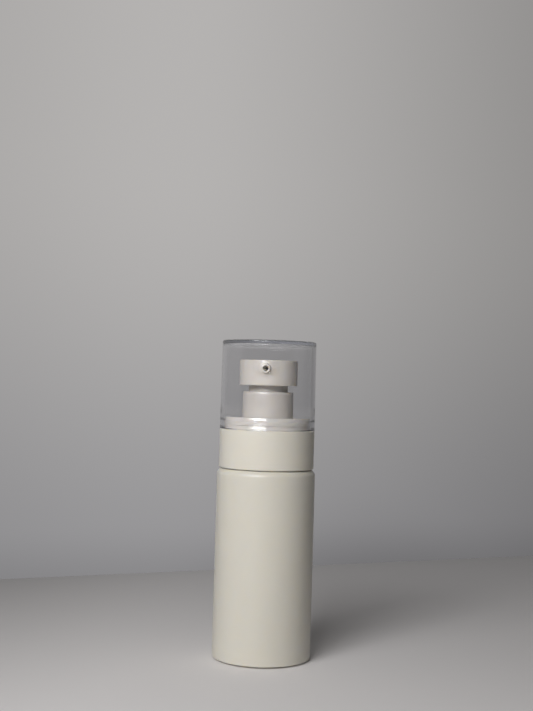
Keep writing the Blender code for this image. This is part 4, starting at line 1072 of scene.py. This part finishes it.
def gasket_shape():
    """Profile of the flat sealing ring between the bottle's lip and the pump's flange."""
    outer_r, low, top = extent("neck_gasket")
    bore_r = NECK_BORE_R - 0.3 * MM
    return rounded([(bore_r, low, FINE), (outer_r, low, FINE), (outer_r, top, FINE),
                    (bore_r, top, FINE)])


piece("guide_cup", turned(guide_shape()), "pump", natural_pump, "stem_guide")
piece("neck_seal", turned(gasket_shape()), "pump", soft_seal, "neck_gasket")


# %% [markdown]
# ## The moving pump parts
#
# The stem carries the lotion up to the head.  The rod is pressed into it, and its fluted shank
# leaves room for the lotion beside it.  The rod's cone closes the piston's hub when the head
# rises.  The piston wipes the chamber with two thin lips.  The flutes could be four cutters, but
# a formula that moves the shank's points keeps the rod a clean grid.

# %% Turn the stem
STEM_R = 2.8 * MM
STEM_BORE_R = 1.7 * MM


def stem_shape():
    """Profile of the stem: a tube with a flange at its foot."""
    flange_top = STEM_LOW + 1.5 * MM
    return outline([
        (STEM_BORE_R, STEM_LOW, FINE), (STEM_BORE_R, STEM_TOP, EASED),
        (STEM_R, STEM_TOP, 0.4 * MM), (STEM_R, flange_top, 0.25 * MM),
        (STEM_FLANGE_R, flange_top, FINE), (STEM_FLANGE_R, STEM_LOW, SOFT),
    ])


piece("stem_tube", turned(stem_shape()), "stem", natural_pump, "pump_stem")

# %% Turn the fluted rod
SHANK_R = 1.5 * MM
ROD_HEAD_R = 3.2 * MM
PIN_R = 1.8 * MM
FLUTE_R = 0.55 * MM
FLUTE_COUNT = 4
CONE_LOW = ROD_HEAD_LOW + 0.8 * MM
CONE_TOP = CONE_LOW + 1.2 * MM


def rod_profile():
    """Profile of the rod: shank, valve cone, spring seat and guide pin."""
    return outline([
        (0.0, ROD_TOP), (SHANK_R, ROD_TOP, 0.4 * MM), (SHANK_R, CONE_TOP + 0.02 * MM),
        (SHANK_R, CONE_TOP), (ROD_HEAD_R, CONE_LOW, CRISP), (ROD_HEAD_R, ROD_HEAD_LOW, FINE),
        (PIN_R, ROD_HEAD_LOW, EASED), (PIN_R, ROD_LOW, 0.5 * MM), (0.0, ROD_LOW),
    ], 1.0 * MM, closed=False)


def flutes(radius, height, angle):
    """Cut round grooves in the shank.

    A groove is a circle of radius f about a point on the shank's surface, so at an angle t from
    its middle the shank that is left reaches R cos t - sqrt(f^2 - R^2 sin^2 t).
    """
    spacing = math.tau / FLUTE_COUNT
    away = angle % spacing - spacing / 2
    inside = np.clip(FLUTE_R ** 2 - (SHANK_R * np.sin(away)) ** 2, 0.0, None)
    left = SHANK_R * np.cos(away) - np.sqrt(inside)
    cut = (height > CONE_TOP + TOLERANCE) & (inside > 0.0)
    return np.where(cut, np.minimum(radius, left), radius), height


piece("fluted_rod", turned(rod_profile(), FINE_SEGMENTS, flutes), "stem",
      natural_pump, "piston_rod")

# %% Turn the piston
LIP_HEIGHT = 0.7 * MM


def piston_shape():
    """Profile of the piston: hub, web, and two lips that open towards their own ends."""
    lip_r, hub_r, hub_bore_r = PISTON_BORE_R - 0.12 * MM, 2.9 * MM, 1.95 * MM
    web_r, lip_bore_r = lip_r - 0.25 * MM, lip_r - 0.35 * MM
    middle = (PISTON_LOW + PISTON_TOP) / 2
    web_high, web_low = middle + 0.8 * MM, middle - 0.8 * MM
    return outline([
        (hub_bore_r, PISTON_LOW, FINE), (hub_bore_r, PISTON_TOP, FINE),
        (hub_r, PISTON_TOP, FINE), (hub_r, web_high, EASED),
        (lip_bore_r, PISTON_TOP, CRISP), (lip_r, PISTON_TOP, CRISP),
        (lip_r, PISTON_TOP - LIP_HEIGHT, EASED), (web_r, web_high, EASED),
        (web_r, web_low, EASED), (lip_r, PISTON_LOW + LIP_HEIGHT, EASED),
        (lip_r, PISTON_LOW, CRISP), (lip_bore_r, PISTON_LOW, CRISP),
        (hub_r, web_low, EASED), (hub_r, PISTON_LOW, FINE),
    ], 1.0 * MM)


piece("lipped_piston", turned(piston_shape()), "piston", soft_seal, "piston_seal")


# %% [markdown]
# ## The ball, the dip tube and the spring
#
# A steel ball closes the inlet, and the dip tube reaches down to the bottle's floor, cut at a
# slant so that it can't suck itself shut.  Both are profiles again.  The spring is a wire swept
# along a helix, with a closed turn at each end, as a compression spring has.  The Screw modifier
# could wind it, but only at one pitch, and its ends would be open.

# %% Round the ball and slant the dip tube
BALL_ROWS = 48
TUBE_WALL = 0.5 * MM
SLANT = math.tan(math.radians(35))

turn_down = np.linspace(0.0, math.pi, BALL_ROWS)
ball_shape = np.stack([BALL_R * np.sin(turn_down),
                       BALL_LOW + BALL_R + BALL_R * np.cos(turn_down)], axis=-1)
piece("valve_ball", turned(ball_shape, segments=96), "ball", ball_steel,
      "inlet_ball")


def slanted(radius, height, angle):
    """Cut the tube's foot along a plane that falls towards +X."""
    at_foot = height < TUBE_LOW + 0.3 * MM
    return radius, np.where(at_foot, height + (TUBE_R - radius * np.cos(angle)) * SLANT, height)


tube_shape = rounded([(TUBE_R - TUBE_WALL, TUBE_LOW, CRISP), (TUBE_R - TUBE_WALL, TUBE_TOP),
                      (TUBE_R, TUBE_TOP, CRISP), (TUBE_R, TUBE_LOW, CRISP)])
piece("suction_tube", turned(tube_shape, segments=96, shift=slanted), "pump",
      natural_pump, "dip_tube")

# %% Wind the spring
WIRE_R = 0.35 * MM
SPRING_R = SPRING_OUTER_R - WIRE_R
CLOSED_PITCH = 0.9 * MM
ACTIVE_TURNS = 5
STEPS_PER_TURN = 48
WIRE_SIDES = 20


def spring_rise(turn):
    """Height of the wire's middle over the spring's foot: closed ends, even pitch between.

    It is piecewise linear in the turn: one closed turn, the active turns, one closed turn.
    """
    length = SPRING_TOP - SPRING_LOW - WIRE_R * 2
    knots = [0.0, 1.0, 1.0 + ACTIVE_TURNS, 2.0 + ACTIVE_TURNS]
    return np.interp(turn, knots, [0.0, CLOSED_PITCH, length - CLOSED_PITCH, length]) + WIRE_R


def wound_spring():
    """Wire swept along the helix: a circle in the plane of the radius and the helix's normal.

    At turn t the helix stands at angle 2 pi t and its tangent leans by the slope of its rise,
    so the circle's second direction is Z leaned back by the same slope.  The end circles
    shrink to points, which closes the wire.
    """
    turn = np.linspace(0.0, 2.0 + ACTIVE_TURNS, (2 + ACTIVE_TURNS) * STEPS_PER_TURN + 1)
    angle, rise = math.tau * turn, spring_rise(turn)
    slope = np.gradient(rise, angle * SPRING_R)
    flat = np.zeros_like(angle)
    out = np.stack([np.cos(angle), np.sin(angle), flat], axis=-1)
    along = np.stack([-np.sin(angle), np.cos(angle), flat], axis=-1)
    upright = np.array([0.0, 0.0, 1.0])
    up = upright - along * slope[:, None]
    up /= np.linalg.norm(up, axis=1, keepdims=True)
    middle = out * SPRING_R + upright * (rise + SPRING_LOW)[:, None]
    side = np.arange(WIRE_SIDES) * math.tau / WIRE_SIDES
    rows = np.clip(np.arange(-1, len(turn) + 1), 0, len(turn) - 1)
    wire = np.full(len(rows), WIRE_R)
    wire[[0, -1]] = 0.0
    across, above = np.cos(side)[None, :, None], np.sin(side)[None, :, None]
    circle = across * out[rows][:, None] + above * up[rows][:, None]
    points = middle[rows][:, None] + circle * wire[:, None, None]
    return points.reshape(-1, 3), grid_faces(len(points), WIRE_SIDES, False)


spring = piece("coil_spring", wound_spring(), "pump", spring_steel,
               "return_spring")
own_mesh(spring)


# %% [markdown]
# ## The studio
#
# A pale table top carries the bottle, and a plain wall stands behind it at a slant.  A curved
# paper sweep would be simpler, but it would lose the straight line where table and wall meet.
# The wall shines by itself and is only seen, mirrored or looked at through the cap: it lights
# no matt surface and takes no light.  The table is lit by the lamps and glows very faintly, as
# if other lamps lit it evenly.

# %% Lay the table
FLOOR_REACH = 1.6
FLOOR_LEFT = (0.51, 0.493, 0.489)
FLOOR_RIGHT = (0.790, 0.764, 0.758)
FLOOR_DIMS = (-0.20, -0.04)
FLOOR_GLOW = 0.050
FLOOR_BOUNCE = 0.02
FLOOR_ROUGHNESS = 0.7
FLOOR_GRAIN_SCALE = 900.0
FLOOR_GRAIN_STRENGTH = 0.05
FLOOR_GRAIN_DEPTH = 0.05 * MM


def stage_object(name, corners, material):
    """Flat sheet that belongs to the studio and not to the bottle."""
    mesh = bpy.data.meshes.new(name)
    mesh.from_pydata(corners, [], [range(len(corners))])
    made = bpy.data.objects.new(name, mesh)
    bpy.context.scene.collection.objects.link(made)
    mesh.materials.append(material)
    return made


def table_material():
    """Pale table top, faintly uneven and darker to the left, whose glow lights little else."""
    material, tree, shader = new_material("table_top")
    aside = ramp(tree, place_in(tree, "X"), *FLOOR_DIMS)
    tone = tinted(tree, aside, FLOOR_LEFT, FLOOR_RIGHT)
    bounced = add(tree, "LightPath", "Is Diffuse Ray")
    grain = noise(tree, FLOOR_GRAIN_SCALE, 2.0)
    dress(shader, {"Base Color": tone, "Emission Color": tone, "Roughness": FLOOR_ROUGHNESS,
                   "Emission Strength": ramp(tree, bounced, 0.0, 1.0, FLOOR_GLOW, FLOOR_BOUNCE),
                   "Normal": bump(tree, grain, FLOOR_GRAIN_STRENGTH, FLOOR_GRAIN_DEPTH)})
    return material


stage_object("table", [(-FLOOR_REACH, -FLOOR_REACH, 0.0), (FLOOR_REACH, -FLOOR_REACH, 0.0),
                       (FLOOR_REACH, FLOOR_REACH, 0.0), (-FLOOR_REACH, FLOOR_REACH, 0.0)],
             table_material())
print("the table reaches %.1f m each way" % FLOOR_REACH)

# %% Hang the backdrop
WALL_DISTANCE = 226 * MM
WALL_TURN = math.radians(24.6)
WALL_HALF = 2.0
WALL_HEIGHT = 1.5
WALL_LOW = (0.311, 0.307, 0.318)
WALL_HIGH = (0.490, 0.477, 0.469)
DIM_SPOT = (0.055, 0.0, -0.10)

# Each fade runs from a start to an end in metres, and from one strength to another.
WALL_RISE = (-0.03, 0.24)
FOOT_FADE = (-0.01, 0.03, 0.83, 1.0)
RIGHT_FADE = (-0.146, 0.288, 1.0, 0.55)
LEFT_FADE = (-0.203, -0.024, 0.84, 1.0)
SPOT_FADE = (0.0, 0.155, 0.43, 1.0)


def combined(tree, operation, values):
    """Values joined one after the other by a Math operation."""
    result = values[0]
    for value in values[1:]:
        result = add(tree, "Math", "Value", {0: result, 1: value}, operation=operation)
    return result


def backdrop_material():
    """Grey wall that shines by itself, paler upwards, dimmer aside, and clear from behind.

    A soft dim spot low on the right stands for the shadow that the bottle throws there.
    """
    material, tree, shader = new_material("backdrop")
    tree.nodes.remove(shader)
    across, up = place_in(tree, "X"), place_in(tree, "Z")
    tone = tinted(tree, ramp(tree, up, *WALL_RISE), WALL_LOW, WALL_HIGH)
    away = add(tree, "VectorMath", "Value", {0: add(tree, "TexCoord", "Object"), 1: DIM_SPOT},
               operation="DISTANCE")
    fades = [(up, FOOT_FADE), (across, RIGHT_FADE), (across, LEFT_FADE), (away, SPOT_FADE)]
    strength = combined(tree, "MULTIPLY", [ramp(tree, place, *fade) for place, fade in fades])
    glow = add(tree, "Emission", "Emission", {"Color": tone, "Strength": strength})
    film = add(tree, "BsdfTransparent", "BSDF")
    behind = add(tree, "NewGeometry", "Backfacing")
    mixed = add(tree, "MixShader", "Shader", {"Fac": behind, 1: glow, 2: film})
    dress(tree.nodes["Material Output"], {"Surface": mixed})
    return material


wall = stage_object("backdrop", [(-WALL_HALF, 0.0, 0.0), (WALL_HALF, 0.0, 0.0),
                                 (WALL_HALF, 0.0, WALL_HEIGHT), (-WALL_HALF, 0.0, WALL_HEIGHT)],
                    backdrop_material())
wall.matrix_world = (turn_about("Z", RIG_TURN) @ Matrix.Translation((0.0, WALL_DISTANCE, 0.0))
                     @ turn_about("Z", WALL_TURN))
wall.visible_diffuse = False
wall.visible_shadow = False
print("the backdrop stands %.0f mm behind the bottle" % (WALL_DISTANCE / MM))


# %% [markdown]
# ## The lamps
#
# Two soft boxes stand side by side on the left, as one broad source that fades at one edge.  One
# large lamp would give a flatter highlight.  A weak one behind the bottle brightens its far
# edges.  It is linked to the bottle's pieces alone, so it neither lights the table nor throws a
# second shadow on it.  The world gives almost no light, and is a dark grey where it is seen,
# mirrored or looked at through the cap.

# %% Light it
LAMP_TARGET = Vector((0.0, 0.0, 0.07))
LAMP_DISTANCE = 0.65
FRONT_LIFT = 31.0
FRONT_SIZE = (0.34, 0.26)
BACK_LIFT = 22.0
BACK_SIZE = (0.40, 0.30)
WORLD_LIGHT = 0.006
WORLD_SEEN = 0.12


def softbox(name, azimuth, elevation, size, power):
    """Rectangular lamp that looks at the bottle's middle from an azimuth and an elevation.

    Azimuth counts from the camera's side, positive to its right, in degrees.
    """
    data = bpy.data.lights.new(name, "AREA")
    data.shape = "RECTANGLE"
    data.size, data.size_y = size
    data.energy = power
    lamp = bpy.data.objects.new(name, data)
    bpy.context.scene.collection.objects.link(lamp)
    turn = RIG_TURN + math.radians(azimuth)
    lift = math.radians(elevation)
    away = Vector((math.sin(turn) * math.cos(lift), -math.cos(turn) * math.cos(lift), math.sin(lift)))
    lamp.location = LAMP_TARGET + away * LAMP_DISTANCE
    lamp.rotation_euler = (-away).to_track_quat("-Z", "Y").to_euler()
    print("%-6s %.2f W at %d, %d degrees" % (name, power, azimuth, elevation))
    return lamp


softbox("key", -21.0, FRONT_LIFT, FRONT_SIZE, 2.4)
softbox("side", -33.0, FRONT_LIFT, FRONT_SIZE, 1.0)
back = softbox("back", 182.0, BACK_LIFT, BACK_SIZE, 0.58)
back.light_linking.receiver_collection = pieces

world = bpy.data.worlds.new("studio")
bpy.context.scene.world = world
world.use_nodes = True
sky = world.node_tree
seen = combined(sky, "MAXIMUM", [add(sky, "LightPath", ray) for ray in (
    "Is Camera Ray", "Is Transmission Ray", "Is Glossy Ray")])
dress(sky.nodes["Background"], {"Color": (1.0, 1.0, 1.0, 1.0),
                                "Strength": ranged(sky, seen, WORLD_LIGHT, WORLD_SEEN)})
bpy.context.scene.view_settings.view_transform = "Standard"
